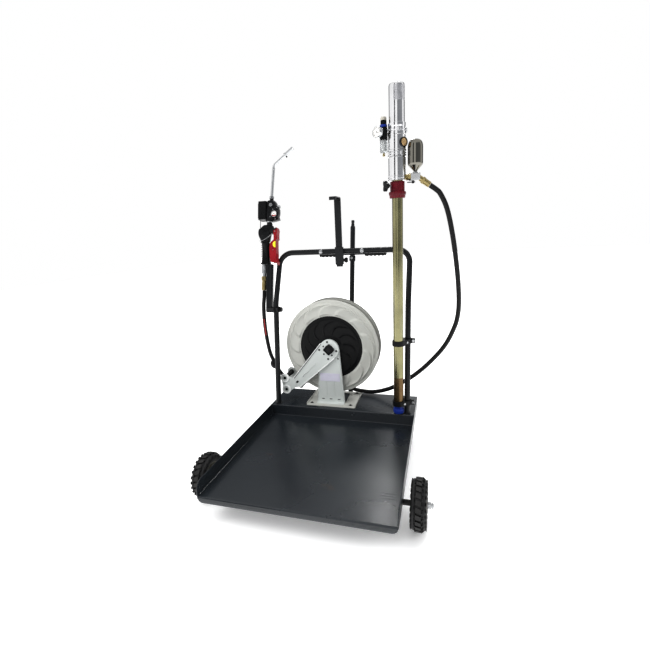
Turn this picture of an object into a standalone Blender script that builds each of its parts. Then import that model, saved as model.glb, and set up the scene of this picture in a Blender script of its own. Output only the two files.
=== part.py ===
"""Air-operated oil dispensing trolley for a drum: tray cart, piston pump, spring hose reel, meter gun."""
import math

import bmesh
import bpy
from mathutils import Matrix, Vector

for old in list(bpy.data.objects):
    bpy.data.objects.remove(old, do_unlink=True)

# Driving dimensions, in metres. X is across the cart, -Y is its front, Z is up.
GAP = 0.0003
SHEET = 0.003
TRAY_HALF = 0.3415
TRAY_FRONT, STEP_Y, SHELF_REAR = -0.5420, 0.1063, 0.3194
FLOOR_Z, SHELF_Z, LIP_DROP = 0.105, 0.1554, 0.022
WHEEL_R, WHEEL_HALF, WHEEL_X, WHEEL_Y = 0.0844, 0.0258, 0.391, -0.3916
CASTER_X, CASTER_Y, CASTER_R, CASTER_TRAIL = 0.240, 0.215, 0.050, 0.035
TUBE_R = 0.0125
LEG_X, LEG_Y, KNEE_Y, KNEE_Z, BAR_Y, BAR_Z = 0.309, 0.1221, 0.1801, 0.6406, 0.2837, 0.8697
PUMP_X, PUMP_Y, SUCTION_R, PUMP_R = 0.2727, 0.114, 0.021, 0.0303
REEL_X, REEL_Z, DISC_R, FRONT_DISC_Y, REAR_DISC_Y = -0.052, 0.4275, 0.2265, 0.199, 0.280
COIL_IN, COIL_OUT, HOSE_R, FEED_R = 0.118, 0.180, 0.0092, 0.0096
TOW_Y, TOW_Z, TOW_LEAN = 0.346, 0.125, math.radians(12)
GUN_X, GUN_Y, GUN_Z, GUN_LEAN = -0.3635, 0.2222, 0.8220, math.radians(12)
X, Y, Z = Vector((1, 0, 0)), Vector((0, 1, 0)), Vector((0, 0, 1))

BLACK, COAT = (0.012, 0.013, 0.014), (0.035, 0.041, 0.046)
RUBBER, ALLOY, ZINC = (0.014, 0.014, 0.015), (0.62, 0.63, 0.65), (0.55, 0.56, 0.57)
BRASS, REEL_GREY, RED = (0.60, 0.46, 0.22), (0.60, 0.61, 0.58), (0.36, 0.015, 0.03)
GOLD_ZINC, CHROME, BLUE = (0.55, 0.49, 0.25), (0.75, 0.75, 0.74), (0.02, 0.05, 0.38)


def finish(name, colour, metallic, roughness):
    material = bpy.data.materials.new(name + "_finish")
    material.use_nodes = True
    shader = material.node_tree.nodes["Principled BSDF"]
    shader.inputs["Base Color"].default_value = (*colour, 1)
    shader.inputs["Metallic"].default_value = metallic
    shader.inputs["Roughness"].default_value = roughness
    return material


def frame_of(origin, along, across=None):
    """Local Z runs along `along`, and local X lies nearest to `across`."""
    w = Vector(along).normalized()
    hint = Vector(across) if across else (X if abs(w.x) < 0.9 else Y)
    u = (hint - w * hint.dot(w)).normalized()
    v = w.cross(u)
    return Matrix.Translation(origin) @ Matrix((u, v, w)).transposed().to_4x4()


def mesh_from(verts, faces, place):
    mesh = bpy.data.meshes.new("solid")
    mesh.from_pydata([place @ Vector(v) for v in verts], [], faces)
    work = bmesh.new()
    work.from_mesh(mesh)
    bmesh.ops.recalc_face_normals(work, faces=work.faces)
    if work.calc_volume(signed=True) < 0:
        bmesh.ops.reverse_faces(work, faces=work.faces)
    work.to_mesh(mesh)
    work.free()
    return mesh


def lathe(profile, origin=(0, 0, 0), along=Z, seg=20, across=None):
    """Turns (radius, height) points round the local Z axis; a ring profile closes on itself."""
    rings, verts, faces = [], [], []
    solid = profile[0][0] == 0 and profile[-1][0] == 0
    for radius, height in profile:
        if radius == 0:
            rings.append([len(verts)] * seg)
            verts.append((0, 0, height))
            continue
        rings.append(list(range(len(verts), len(verts) + seg)))
        for k in range(seg):
            a = 2 * math.pi * k / seg
            verts.append((radius * math.cos(a), radius * math.sin(a), height))
    pairs = list(zip(rings, rings[1:])) + ([] if solid else [(rings[-1], rings[0])])
    for low, high in pairs:
        for k in range(seg):
            m = (k + 1) % seg
            loop = [low[k], low[m], high[m], high[k]]
            faces.append([i for n, i in enumerate(loop) if i not in loop[:n]])
    return mesh_from(verts, [f for f in faces if len(f) > 2], frame_of(origin, along, across))


def rod(radius, start, end, seg=20, across=None):
    start, end = Vector(start), Vector(end)
    span = (end - start).length
    return lathe([(0, 0), (radius, 0), (radius, span), (0, span)], start, end - start, seg, across)


def prism(outline, low, high, origin=(0, 0, 0), along=Z, across=None):
    """A flat outline in local X, Y pushed from low to high along local Z."""
    n = len(outline)
    verts = [(u, v, low) for u, v in outline] + [(u, v, high) for u, v in outline]
    sides = [[k, (k + 1) % n, n + (k + 1) % n, n + k] for k in range(n)]
    faces = sides + [list(range(n))[::-1], list(range(n, 2 * n))]
    return mesh_from(verts, faces, frame_of(origin, along, across))


def block(low, high, turn=None):
    (x0, y0, z0), (x1, y1, z1) = low, high
    mesh = prism([(x0, y0), (x1, y0), (x1, y1), (x0, y1)], z0, z1)
    if turn:
        mesh.transform(turn)
    return mesh


def round_box(half_u, half_v, radius, steps=3):
    points = []
    for k, (su, sv) in enumerate(((1, 1), (-1, 1), (-1, -1), (1, -1))):
        for s in range(steps + 1):
            a = math.pi / 2 * (k + s / steps)
            points.append((su * (half_u - radius) + radius * math.cos(a),
                           sv * (half_v - radius) + radius * math.sin(a)))
    return points


def hexagon(across_flats):
    r = across_flats / math.sqrt(3)
    return [(r * math.cos(k * math.pi / 3), r * math.sin(k * math.pi / 3)) for k in range(6)]


def fillet(points, radii, steps=6):
    """A polyline with each inner corner rounded to its radius."""
    points = [Vector(p) for p in points]
    out = [points[0]]
    for before, corner, after, radius in zip(points, points[1:], points[2:], radii):
        a, b = (before - corner).normalized(), (after - corner).normalized()
        half = a.angle(b) / 2
        centre = corner + (a + b).normalized() * radius / math.sin(half)
        reach = radius / math.tan(half)
        p, q = corner + a * reach - centre, corner + b * reach - centre
        turn = p.angle(q)
        for k in range(steps + 1):
            t = k / steps
            arc = (p * math.sin((1 - t) * turn) + q * math.sin(t * turn)) / math.sin(turn)
            out.append(centre + arc)
    return out + [points[-1]]


def sweep(path, radius, seg=16, scale=None):
    """A tube of round section that follows a path."""
    path = [Vector(p) for p in path]
    n = len(path)
    ways = [(path[min(k + 1, n - 1)] - path[max(k - 1, 0)]).normalized() for k in range(n)]
    side = ways[0].orthogonal().normalized()
    verts, faces = [], []
    for k, (point, way) in enumerate(zip(path, ways)):
        side = (side - way * side.dot(way)).normalized()
        up = way.cross(side)
        r = radius * (scale[k] if scale else 1)
        for s in range(seg):
            a = 2 * math.pi * s / seg
            verts.append(point + (side * math.cos(a) + up * math.sin(a)) * r)
    for k in range(n - 1):
        for s in range(seg):
            m = (s + 1) % seg
            faces.append([k * seg + s, k * seg + m, (k + 1) * seg + m, (k + 1) * seg + s])
    faces += [list(range(seg))[::-1], list(range((n - 1) * seg, n * seg))]
    return mesh_from(verts, faces, Matrix.Identity(4))


def helper(mesh, index):
    obj = bpy.data.objects.new("helper_%d" % index, mesh)
    bpy.context.scene.collection.objects.link(obj)
    obj.hide_render, obj.display_type = True, "WIRE"
    return obj


def part(name, mesh, look, origin=(0, 0, 0), joined=(), cut=(), angle=35):
    """One named solid: joins and cuts are worked out, and the origin goes on the joint axis."""
    obj = bpy.data.objects.new(name, mesh)
    bpy.context.scene.collection.objects.link(obj)
    helpers = [(helper(m, k), "UNION" if k < len(joined) else "DIFFERENCE")
               for k, m in enumerate(list(joined) + list(cut))]
    for other, operation in helpers:
        step = obj.modifiers.new("step", "BOOLEAN")
        step.operation, step.solver, step.object = operation, "EXACT", other
    if helpers:
        bpy.context.view_layer.update()
        graph = bpy.context.evaluated_depsgraph_get()
        mesh = bpy.data.meshes.new_from_object(obj.evaluated_get(graph))
        obj.modifiers.clear()
        obj.data = mesh
        for other, _ in helpers:
            bpy.data.objects.remove(other, do_unlink=True)
    mesh.name = name
    mesh.transform(Matrix.Translation(-Vector(origin)))
    obj.location = origin
    mesh.materials.clear()
    mesh.materials.append(finish(name, *look))
    for face in mesh.polygons:
        face.use_smooth = True
        face.material_index = 0
    mesh.set_sharp_from_angle(angle=math.radians(angle))
    return obj


def smooth_route(route, spacing):
    """Evenly spaced points on a smooth curve through the route."""
    route = [Vector(p) for p in route]
    ends = [route[0] * 2 - route[1]] + route + [route[-1] * 2 - route[-2]]
    fine = []
    for a, b, c, d in zip(ends, ends[1:], ends[2:], ends[3:]):
        for k in range(20):
            t = k / 20
            fine.append(0.5 * (2 * b + (c - a) * t + (2 * a - 5 * b + 4 * c - d) * t * t
                               + (3 * b - a - 3 * c + d) * t ** 3))
    fine.append(route[-1])
    total = sum((q - p).length for p, q in zip(fine, fine[1:]))
    count = max(2, round(total / spacing))
    points, walked, target = [fine[0]], 0.0, total / count
    for p, q in zip(fine, fine[1:]):
        step = (q - p).length
        while step > 0 and walked + step >= target and len(points) < count:
            points.append(p.lerp(q, (target - walked) / step))
            target += total / count
        walked += step
    return points + [fine[-1]]


def hose(name, route, radius, look):
    points = smooth_route(route, radius * 4)
    curve = bpy.data.curves.new(name, "CURVE")
    curve.dimensions, curve.bevel_depth, curve.bevel_resolution = "3D", radius, 2
    curve.use_fill_caps = True
    line = curve.splines.new("POLY")
    line.points.add(len(points) - 1)
    for spot, point in zip(line.points, points):
        spot.co = (*point, 1)
        spot.radius = 1
    obj = bpy.data.objects.new(name, curve)
    bpy.context.scene.collection.objects.link(obj)
    curve.materials.append(finish(name, *look))
    return obj


def leg_y(z):
    """Where the legs' centreline lies at a height below the knee."""
    return LEG_Y + (KNEE_Y - LEG_Y) * (z - SHELF_Z) / (KNEE_Z - SHELF_Z)


def build_tray():
    t, f, low = SHEET, TRAY_FRONT, FLOOR_Z - LIP_DROP
    section = [(f, low), (f, FLOOR_Z), (STEP_Y, FLOOR_Z), (STEP_Y, SHELF_Z), (SHELF_REAR, SHELF_Z),
               (SHELF_REAR, 0.125), (SHELF_REAR - t, 0.125), (SHELF_REAR - t, SHELF_Z - t),
               (STEP_Y + t, SHELF_Z - t), (STEP_Y + t, FLOOR_Z - t), (f + t, FLOOR_Z - t), (f + t, low)]
    half = TRAY_HALF - 0.0015
    bed = prism(section, -half, half, along=X, across=Y)
    side = [(f + 0.0001, FLOOR_Z - t), (f + 0.0001, FLOOR_Z + 0.006)]
    side += [(f + 0.022 * (1 - math.cos(a)), FLOOR_Z + 0.018 + (SHELF_Z - FLOOR_Z - 0.018) * math.sin(a))
             for a in (0.2, 0.6, 1.0, 1.4)]
    side += [(f + 0.030, SHELF_Z - 0.0001), (SHELF_REAR - 0.0001, SHELF_Z - 0.0001),
             (SHELF_REAR - 0.0001, FLOOR_Z - t)]
    lips = [prism(side, s * TRAY_HALF - (t if s > 0 else 0), s * TRAY_HALF + (0 if s > 0 else t),
                  along=X, across=Y) for s in (-1, 1)]
    corners = []
    for s in (-1, 1):
        edge = [(s * 0.3500, 0.0700), (s * 0.3500, 0.1010), (s * 0.3385, 0.1010)]
        edge += [(s * (0.3185 + 0.020 * math.cos(a)), 0.1010 - 0.0185 * math.sin(a)) for a in (0.4, 0.8, 1.2)]
        edge += [(s * 0.3185, 0.0825), (s * 0.3185, 0.0700)]
        corners.append(prism([(u, -v) for u, v in edge], f - 0.002, f + t + 0.0002, along=Y, across=X))
    part("drum_tray", bed, (COAT, 0.1, 0.38), joined=lips, cut=corners)


def build_wheels():
    ends = [(0, -0.4370), (0.0060, -0.4370), (0.0060, -0.3620), (0.0095, -0.3620)]
    axle = lathe(ends + [(r, -x) for r, x in ends[::-1]], (0, WHEEL_Y, WHEEL_R), X, 24)
    hangers = [block((x - 0.025, WHEEL_Y - 0.018, WHEEL_R - 0.002),
                     (x + 0.025, WHEEL_Y + 0.018, FLOOR_Z - SHEET - GAP)) for x in (-0.27, 0.27)]
    nuts = [prism(hexagon(0.019), 0.4190, 0.4300, (0, WHEEL_Y, WHEEL_R), s * X, Y) for s in (-1, 1)]
    part("front_axle", axle, (BLACK, 0.3, 0.45), joined=hangers + nuts)
    h, r = WHEEL_HALF, WHEEL_R
    tyre = [(0.0520, -h + 0.006), (0.0620, -h), (0.0760, -h + 0.002), (r - 0.0010, -h + 0.012),
            (r, -0.004), (r, 0.004), (r - 0.0010, h - 0.012), (0.0760, h - 0.002), (0.0620, h), (0.0520, h - 0.006)]
    rim = [(0.0064, -0.0250), (0.0180, -0.0250), (0.0185, -0.0070), (0.0420, -0.0060),
           (0.0517, -h + 0.006), (0.0517, h - 0.006), (0.0420, 0.0060),
           (0.0185, 0.0070), (0.0180, 0.0250), (0.0064, 0.0250)]
    for side, s in (("left", -1), ("right", 1)):
        hub = (s * WHEEL_X, WHEEL_Y, WHEEL_R)
        part("front_tyre_" + side, lathe(tyre, hub, X, 24), (RUBBER, 0, 0.7), hub)
        part("front_wheel_rim_" + side, lathe(rim, hub, X, 24), (REEL_GREY, 0.2, 0.5), hub)


def build_casters():
    top = SHELF_Z - SHEET - GAP
    for side, s in (("left", -1), ("right", 1)):
        x, y = s * CASTER_X, CASTER_Y
        pad = block((x - 0.044, y - 0.044, 0.1300), (x + 0.044, y + 0.044, top))
        race = rod(0.0270, (x, y, 0.1215), (x, y, 0.1310))
        part("caster_mount_" + side, pad, (ZINC, 0.8, 0.4), joined=[race])
        pivot, hub = (x, y, 0.1180), Vector((x, y + CASTER_TRAIL, CASTER_R))
        crown = rod(0.0265, (x, y, 0.1150), (x, y, 0.1215 - GAP))
        bridge = block((x - 0.0230, y - 0.022, 0.1100), (x + 0.0230, y + 0.030, 0.1160))
        leg = [(y - 0.020, 0.1155), (y + 0.030, 0.1155), (hub.y + 0.011, CASTER_R),
               (hub.y, CASTER_R - 0.011), (hub.y - 0.011, CASTER_R)]
        legs = [prism(leg, x + e - 0.0015, x + e + 0.0015, along=X, across=Y) for e in (-0.0215, 0.0215)]
        bolt = rod(0.0050, hub - X * 0.0290, hub + X * 0.0290, 16)
        part("caster_fork_" + side, crown, (ZINC, 0.8, 0.4), pivot, joined=[bridge] + legs + [bolt])
        roll = [(0.0056, -0.0180), (0.0140, -0.0180), (0.0150, -0.0155), (0.0450, -0.0155),
                (0.0500, -0.0110), (0.0500, 0.0110), (0.0450, 0.0155), (0.0150, 0.0155),
                (0.0140, 0.0180), (0.0056, 0.0180)]
        part("caster_wheel_" + side, lathe(roll, hub, X, 16), (RUBBER, 0, 0.6), tuple(hub))


def build_frame():
    foot = SHELF_Z + GAP
    corners = [(-LEG_X, LEG_Y, foot), (-LEG_X, KNEE_Y, KNEE_Z), (-LEG_X, BAR_Y, BAR_Z),
               (LEG_X, BAR_Y, BAR_Z), (LEG_X, KNEE_Y, KNEE_Z), (LEG_X, LEG_Y, foot)]
    path = fillet(corners, [0.110, 0.062, 0.062, 0.110], 6)
    path[0].z = path[-1].z = foot + 0.0015
    part("handle_frame", sweep(path, TUBE_R, 12), (BLACK, 0.2, 0.4))
    slope = (KNEE_Y - LEG_Y) / (KNEE_Z - SHELF_Z)
    lean = Vector((0, slope, 1)).normalized()
    for name, z in (("upper_tube_clamp", 0.4827), ("lower_tube_clamp", 0.2079)):
        leg = Vector((LEG_X, leg_y(z), z))
        pump = Vector((PUMP_X, PUMP_Y, z))
        half = 0.011
        way = leg - pump
        spread = math.acos((0.0268 - 0.0190) / way.length)
        outline = [(0.0268 * math.cos(spread + k * (math.pi - spread) / 7),
                    0.0268 * math.sin(spread + k * (math.pi - spread) / 7)) for k in range(15)]
        outline += [(way.length + 0.0190 * math.cos(k * spread / 5), 0.0190 * math.sin(k * spread / 5))
                    for k in range(-5, 6)]
        band = prism(outline, -half, half, pump, Z, way)
        ear = block((LEG_X + 0.014, leg.y - 0.005, z - half + 0.001),
                    (LEG_X + 0.032, leg.y + 0.005, z + half - 0.001))
        holes = [rod(SUCTION_R + GAP, pump - Z * 0.05, pump + Z * 0.05, 24),
                 rod(TUBE_R + 0.0007, leg - lean * 0.05, leg + lean * 0.05, 24)]
        part(name, band, (BLACK, 0, 0.5), joined=[ear], cut=holes)


def build_drum_hook():
    x0, x1, y0, y1 = -0.0255, 0.0045, 0.2612, 0.2662
    section = [(y1, 0.8000), (y1, 1.0950), (y1 - 0.004, 1.1040), (y1 - 0.011, 1.1080), (0.1790, 1.1080),
               (0.1790, 1.0940), (0.1830, 1.0940), (0.1830, 1.1035), (y0 - 0.004, 1.1030), (y0, 1.0960),
               (y0, 0.8000)]
    part("drum_hook_strap", prism(section, x0, x1, along=X, across=Y), (BLACK, 0.2, 0.45), (-0.0105, 0.2637, 0.85))
    outer = block((x0 - 0.004, y0 - 0.004, 0.8100), (x1 + 0.004, BAR_Y - TUBE_R - GAP, 0.8900))
    inner = block((x0 - GAP, y0 - GAP, 0.7900), (x1 + GAP, y1 + GAP, 0.9000))
    boss = rod(0.0075, (x1 + 0.0030, 0.2641, 0.8300), (x1 + 0.0100, 0.2641, 0.8300), 16)
    bore = rod(0.0045, (x1 - 0.0100, 0.2637, 0.8300), (x1 + 0.0200, 0.2637, 0.8300), 16)
    part("strap_sleeve", outer, (BLACK, 0.2, 0.45), joined=[boss], cut=[inner, bore])
    screw = [(0, 0), (0.0040, 0), (0.0040, 0.0100), (0.0110, 0.0105), (0.0125, 0.0140),
             (0.0125, 0.0200), (0.0100, 0.0230), (0, 0.0235)]
    base = (x1 + GAP, 0.2637, 0.8300)
    part("strap_clamp_knob", lathe(screw, (x1 + GAP + 0.0003, 0.2637, 0.8300), X, 16), (BLACK, 0, 0.5), base)


def lean_matrix(x, y, z, angle):
    return Matrix.Translation((x, y, z)) @ Matrix.Rotation(-angle, 4, "X")


def build_gun_holder():
    place = lean_matrix(-0.3425, 0.2222, 0.8220, GUN_LEAN)
    tube = prism(round_box(0.0140, 0.0140, 0.003, 2), -0.2260, -0.0003)
    tube.transform(place)
    foot_z, leg = 0.6120, Vector((-LEG_X, leg_y(0.6120), 0.6120))
    foot = block((-0.3500, leg.y - 0.019, foot_z - 0.011), (-0.2930, leg.y + 0.019, foot_z + 0.011))
    lean = Vector((0, (KNEE_Y - LEG_Y) / (KNEE_Z - SHELF_Z), 1)).normalized()
    hole = rod(TUBE_R + 0.0009, leg - lean * 0.05, leg + lean * 0.05, 32)
    bore = rod(0.0036, (-0.2960, leg.y, foot_z), (-0.2900, leg.y, foot_z), 16)
    part("gun_holder", tube, (BLACK, 0.2, 0.45), joined=[foot], cut=[hole, bore])
    knob = [(0, 0), (0.0033, 0), (0.0033, 0.0045), (0.0100, 0.0050), (0.0115, 0.0080), (0.0115, 0.0150),
            (0.0090, 0.0170), (0, 0.0170)]
    start = Vector((-0.2951, leg.y, foot_z))
    part("holder_clamp_knob", lathe(knob, start, X, 16), (BLACK, 0, 0.5), tuple(start))


def build_tow_bar():
    inner = SHELF_REAR + GAP
    back = block((-0.040, inner, 0.1050), (0.040, inner + 0.006, 0.1500))
    ears = [block((x - 0.003, inner + 0.004, 0.1100), (x + 0.003, TOW_Y + 0.014, 0.1400)) for x in (-0.022, 0.022)]
    pin = rod(0.0060, (-0.0300, TOW_Y, TOW_Z), (0.0300, TOW_Y, TOW_Z), 20)
    part("tow_bar_bracket", back, (COAT, 0.1, 0.4), joined=ears + [pin])
    place = lean_matrix(0, TOW_Y, TOW_Z, TOW_LEAN)
    eye = rod(0.0135, (-0.0180, 0, 0), (0.0180, 0, 0), 20, (0, 1, 0.13))
    turned = [(0, 0.0090), (0.0122, 0.0090), (0.0122, 0.6960), (0.0165, 0.6970), (0.0165, 0.7240),
              (0.0122, 0.7250), (0.0122, 0.8720), (0.0080, 0.8800), (0.0080, 0.9050), (0, 0.9060)]
    post = lathe(turned, (0, 0, 0), Z, 20)
    cross = rod(0.0080, (-0.1720, 0, 0.7360), (0.1720, 0, 0.7360), 16, (0, 1, 0.1))
    hole = rod(0.0065, (-0.0400, 0, 0), (0.0400, 0, 0), 20, (0, 1, 0.07))
    for mesh in (post, cross, eye, hole):
        mesh.transform(place)
    part("tow_bar", post, (BLACK, 0.2, 0.4), (0, TOW_Y, TOW_Z), joined=[cross, eye], cut=[hole])
    for side, s in (("left", -1), ("right", 1)):
        outline = [(0.0083, 0.066)]
        for k in range(5):
            outline += [(0.0135, 0.068 + 0.020 * k), (0.0165, 0.078 + 0.020 * k)]
        outline += [(0.0150, 0.1740), (0.0083, 0.1745)]
        grip = lathe(outline, (0, 0, 0.7360), s * X, 16)
        grip.transform(place)
        part("tow_grip_" + side, grip, (RUBBER, 0, 0.7), (0, TOW_Y, TOW_Z))


def reel_flat(outline, y0, y1):
    """A flat outline in X, Z round the reel's axis, from y0 to y1."""
    return prism(outline, -y1, -y0, (REEL_X, 0, REEL_Z), -Y, X)


def arc(cx, cz, radius, a0, a1, steps):
    return [(cx + radius * math.cos(math.radians(a0 + (a1 - a0) * k / steps)),
             cz + radius * math.sin(math.radians(a0 + (a1 - a0) * k / steps))) for k in range(steps + 1)]


def build_reel_stand():
    z0 = SHELF_Z + GAP
    base = block((-0.1680, 0.1262, z0), (0.0700, 0.3160, z0 + 0.0040))
    foot = z0 + 0.0035 - REEL_Z
    upright = [(-0.0720, foot)] + [(0.0640, foot)] + arc(0, 0, 0.0470, 10, 170, 10)
    front = reel_flat(upright, 0.1690, 0.1730)
    flanges = [reel_flat([(-0.0720, foot), (-0.0690, foot), (-0.0435, -0.0050), (-0.0463, -0.0050)], 0.1700, 0.1800),
               reel_flat([(0.0610, foot), (0.0640, foot), (0.0463, -0.0050), (0.0435, -0.0050)], 0.1700, 0.1800)]
    toe = reel_flat([(-0.0720, foot), (0.0640, foot), (0.0640, foot + 0.003), (-0.0720, foot + 0.003)], 0.1500, 0.1720)
    hole = rod(0.0165, (REEL_X, 0.1600, REEL_Z), (REEL_X, 0.1900, REEL_Z), 24)
    bolts = [rod(0.0055, (x, y, z0 - 0.01), (x, y, z0 + 0.02), 12)
             for x in (-0.146, 0.044) for y in (0.150, 0.298)]
    part("reel_pedestal", base, (REEL_GREY, 0.1, 0.45), joined=[front] + flanges + [toe], cut=[hole] + bolts)


def build_reel_arm():
    up, low = (-0.2314, -0.1546), (-0.2262, -0.2124)
    body = arc(0, 0, 0.0470, 140, -50, 12) + [(-0.1400, -0.2060), (-0.1640, -0.2040)]
    body += arc(low[0], low[1], 0.0235, -60, -200, 8) + arc(up[0], up[1], 0.0235, 200, 60, 8)
    body += [(-0.1600, -0.1440)]
    plate = reel_flat(body, 0.1615, 0.1650)
    rear = [(-0.1450, -0.2050), (-0.1640, -0.2040)] + arc(low[0], low[1], 0.0235, -60, -200, 8)
    rear += arc(up[0], up[1], 0.0235, 200, 60, 8) + [(-0.1600, -0.1500), (-0.1450, -0.1600)]
    cheek = reel_flat(rear, 0.2560, 0.2590)
    bridge = reel_flat([(-0.1600, -0.2030), (-0.1460, -0.2030), (-0.1460, -0.2000), (-0.1600, -0.2000)],
                       0.1640, 0.2570)
    holes = [rod(0.0165, (REEL_X, 0.1500, REEL_Z), (REEL_X, 0.1680, REEL_Z), 24)]
    axles = []
    for u, v in (up, low):
        at = Vector((REEL_X + u, 0, REEL_Z + v))
        axles.append(rod(0.0045, at + Y * 0.1575, at + Y * 0.2620, 16))
    part("hose_guide_arm", plate, (REEL_GREY, 0.1, 0.45), joined=[cheek, bridge] + axles, cut=holes)
    for name, (u, v) in (("upper_guide_roller", up), ("lower_guide_roller", low)):
        at = Vector((REEL_X + u, 0.1665, REEL_Z + v))
        shape = [(0.0049, 0), (0.0125, 0), (0.0125, 0.0880), (0.0049, 0.0880)]
        part(name, lathe(shape, at, Y, 16), (BLACK, 0, 0.5), tuple(at + Y * 0.044))


def build_reel_drum():
    axis = Vector((REEL_X, 0, REEL_Z))
    front, rear = FRONT_DISC_Y, REAR_DISC_Y
    disc = [(0.1460, front), (0.1500, front - 0.004), (0.1600, front - 0.007), (0.2080, front - 0.006),
            (0.2180, front - 0.002), (DISC_R, front - 0.001), (DISC_R, front + 0.003), (0.2180, front + 0.002),
            (0.1460, front + 0.003)]
    part("reel_front_disc", lathe(disc, axis, Y, 32), (REEL_GREY, 0, 0.45), tuple(axis + Y * front))
    drum = [(0.0165, rear - 0.030), (0.0300, rear - 0.030), (0.0300, rear - 0.004), (0.1080, rear - 0.004),
            (0.1080, front + 0.0033), (0.1150, front + 0.0033), (0.1150, rear - 0.002), (0.2180, rear - 0.002),
            (DISC_R, rear - 0.001), (DISC_R, rear + 0.003), (0.1100, rear + 0.003), (0.0165, rear + 0.003)]
    part("reel_rear_disc_drum", lathe(drum, axis, Y, 32), (REEL_GREY, 0, 0.45), tuple(axis + Y * rear))
    cover = [(0.0165, front - 0.018), (0.0500, front - 0.016), (0.0600, front - 0.010), (0.1300, front - 0.0065),
             (0.1455, front - 0.003), (0.1455, front + 0.003), (0.1380, front + 0.003), (0.0165, front + 0.003)]
    part("spring_case_cover", lathe(cover, axis, Y, 32), (BLACK, 0, 0.5), tuple(axis + Y * front))
    bumps = []
    for k in range(4):
        y = front + 0.0040 + 0.0185 * k
        bumps += [(COIL_OUT - 0.004, y + 0.0005), (COIL_OUT, y + 0.0090)]
    bumps.append((COIL_OUT - 0.004, rear - 0.0025))
    coil = [(0.1155, front + 0.0045)] + bumps + [(0.1155, rear - 0.0025)]
    part("wound_hose_coil", lathe(coil, axis, Y, 32), (RUBBER, 0, 0.6), tuple(axis + Y * front))
    shaft = lathe([(0, 0.1550), (0.0220, 0.1550), (0.0220, 0.1612), (0.0160, 0.1612), (0.0160, 0.2860),
                   (0, 0.2860)], axis, Y)
    square = prism(round_box(0.0110, 0.0110, 0.002, 2), 0.1480, 0.1580, axis, Y, X + Z * 0.35)
    part("reel_shaft", shaft, (BLACK, 0.3, 0.5), joined=[square])
    block_low = axis + Vector((-0.020, 0.2863, -0.020))
    body = block(tuple(block_low), tuple(axis + Vector((0.020, 0.3180, 0.020))))
    port = rod(0.0115, axis + Vector((0, 0.3020, -0.018)), axis + Vector((0, 0.3020, -0.052)), 20)
    part("inlet_swivel", body, (BRASS, 0.9, 0.35), joined=[port])


def build_pump():
    def turned(name, profile, look, seg=24, **more):
        return part(name, lathe(profile, (PUMP_X, PUMP_Y, 0), Z, seg), look, (PUMP_X, PUMP_Y, 0), **more)

    r, g = PUMP_R, GAP
    alloy = (ALLOY, 1, 0.25)
    side = Vector((PUMP_X, PUMP_Y, 0))
    turned("air_cylinder", [(0, 1.4865), (r - 0.002, 1.4865), (r, 1.4845), (r, 1.3492), (0.0260, 1.3492),
                            (0.0260, 1.4750), (0, 1.4750)], alloy)
    turned("air_piston_and_rod", [(0, 1.4300), (0.0255, 1.4300), (0.0255, 1.4180), (0.0060, 1.4170),
                                  (0.0060, 0.3000), (0.0120, 0.2990), (0.0120, 0.2860), (0, 0.2850)], (ZINC, 1, 0.3), 16)
    wide = r + 0.0012
    body = [(0.0066, 1.2302), (wide, 1.2302), (wide, 1.2365), (r - 0.0010, 1.2370), (r - 0.0010, 1.2480),
            (wide, 1.2480), (wide, 1.2540), (r, 1.2545), (r, 1.3075), (wide, 1.3080), (wide, 1.3180),
            (r - 0.0015, 1.3190), (r - 0.0015, 1.3270), (wide, 1.3280), (wide, 1.3360), (r, 1.3370),
            (r, 1.3489), (0.0066, 1.3489)]
    turned("air_valve_body", body, alloy)
    lower = [(0.0066, 1.2299), (r, 1.2299), (r, 1.1560), (r + 0.0012, 1.1550), (r + 0.0012, 1.1425),
             (0.0212, 1.1425), (0.0212, 1.2100), (0.0066, 1.2110)]
    port = rod(0.0075, side + Vector((0.025, 0, 1.1580)), side + Vector((0.035, 0, 1.1580)), 16)
    turned("pump_lower_body", lower, alloy, cut=[port])
    turned("suction_tube", [(0.0185, 0.2003), (SUCTION_R, 0.2003), (SUCTION_R, 1.2090), (0.0185, 1.2090)],
           (GOLD_ZINC, 0.9, 0.3), 24)
    foot = [(0.0100, 0.1600), (0.0200, 0.1600), (0.0225, 0.1630), (0.0225, 0.1820), (0.0195, 0.1830),
            (0.0195, 0.2000), (0.0120, 0.2000), (0.0100, 0.1900)]
    turned("foot_valve", foot, (BLUE, 0, 0.4), 24)
    collar = [(SUCTION_R + g, 1.0770), (0.0310, 1.0770), (0.0310, 1.0900), (0.0334, 1.0920), (0.0334, 1.1000),
              (0.0285, 1.1020), (0.0272, 1.1400), (SUCTION_R + g, 1.1400)]
    way = Vector((-0.85, -0.527, 0)).normalized()
    at = side + Z * 1.1240
    hole = rod(0.0040, at + way * 0.0150, at + way * 0.0400, 16)
    turned("bung_adapter", collar, (RED, 0, 0.4), 24, cut=[hole])
    stem = [(0, 0.0218), (0.0033, 0.0218), (0.0033, 0.0400), (0.0070, 0.0410), (0.0070, 0.0480), (0, 0.0480)]
    lobed = [(0.0135 + 0.0045 * math.cos(k * math.pi / 4), k * math.pi / 12) for k in range(24)]
    head = prism([(r3 * math.cos(a), r3 * math.sin(a)) for r3, a in lobed], 0.0430, 0.0540, at, way)
    part("adapter_thumb_screw", head, (BLACK, 0, 0.5), tuple(at + way * 0.048), joined=[lathe(stem, at, way, 16)])
    out = Vector((0.766, -0.643, 0)).normalized()
    spot = side + Z * 1.2780
    disc = [(0, 0.0280), (0.0110, 0.0280), (0.0110, 0.0335), (0.0170, 0.0340), (0.0180, 0.0385), (0, 0.0395)]
    trim = rod(r + 0.0016, side + Z * 1.24, side + Z * 1.32, 28)
    part("exhaust_muffler", lathe(disc, spot, out, 24), (BRASS, 0.6, 0.5), cut=[trim])


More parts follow.
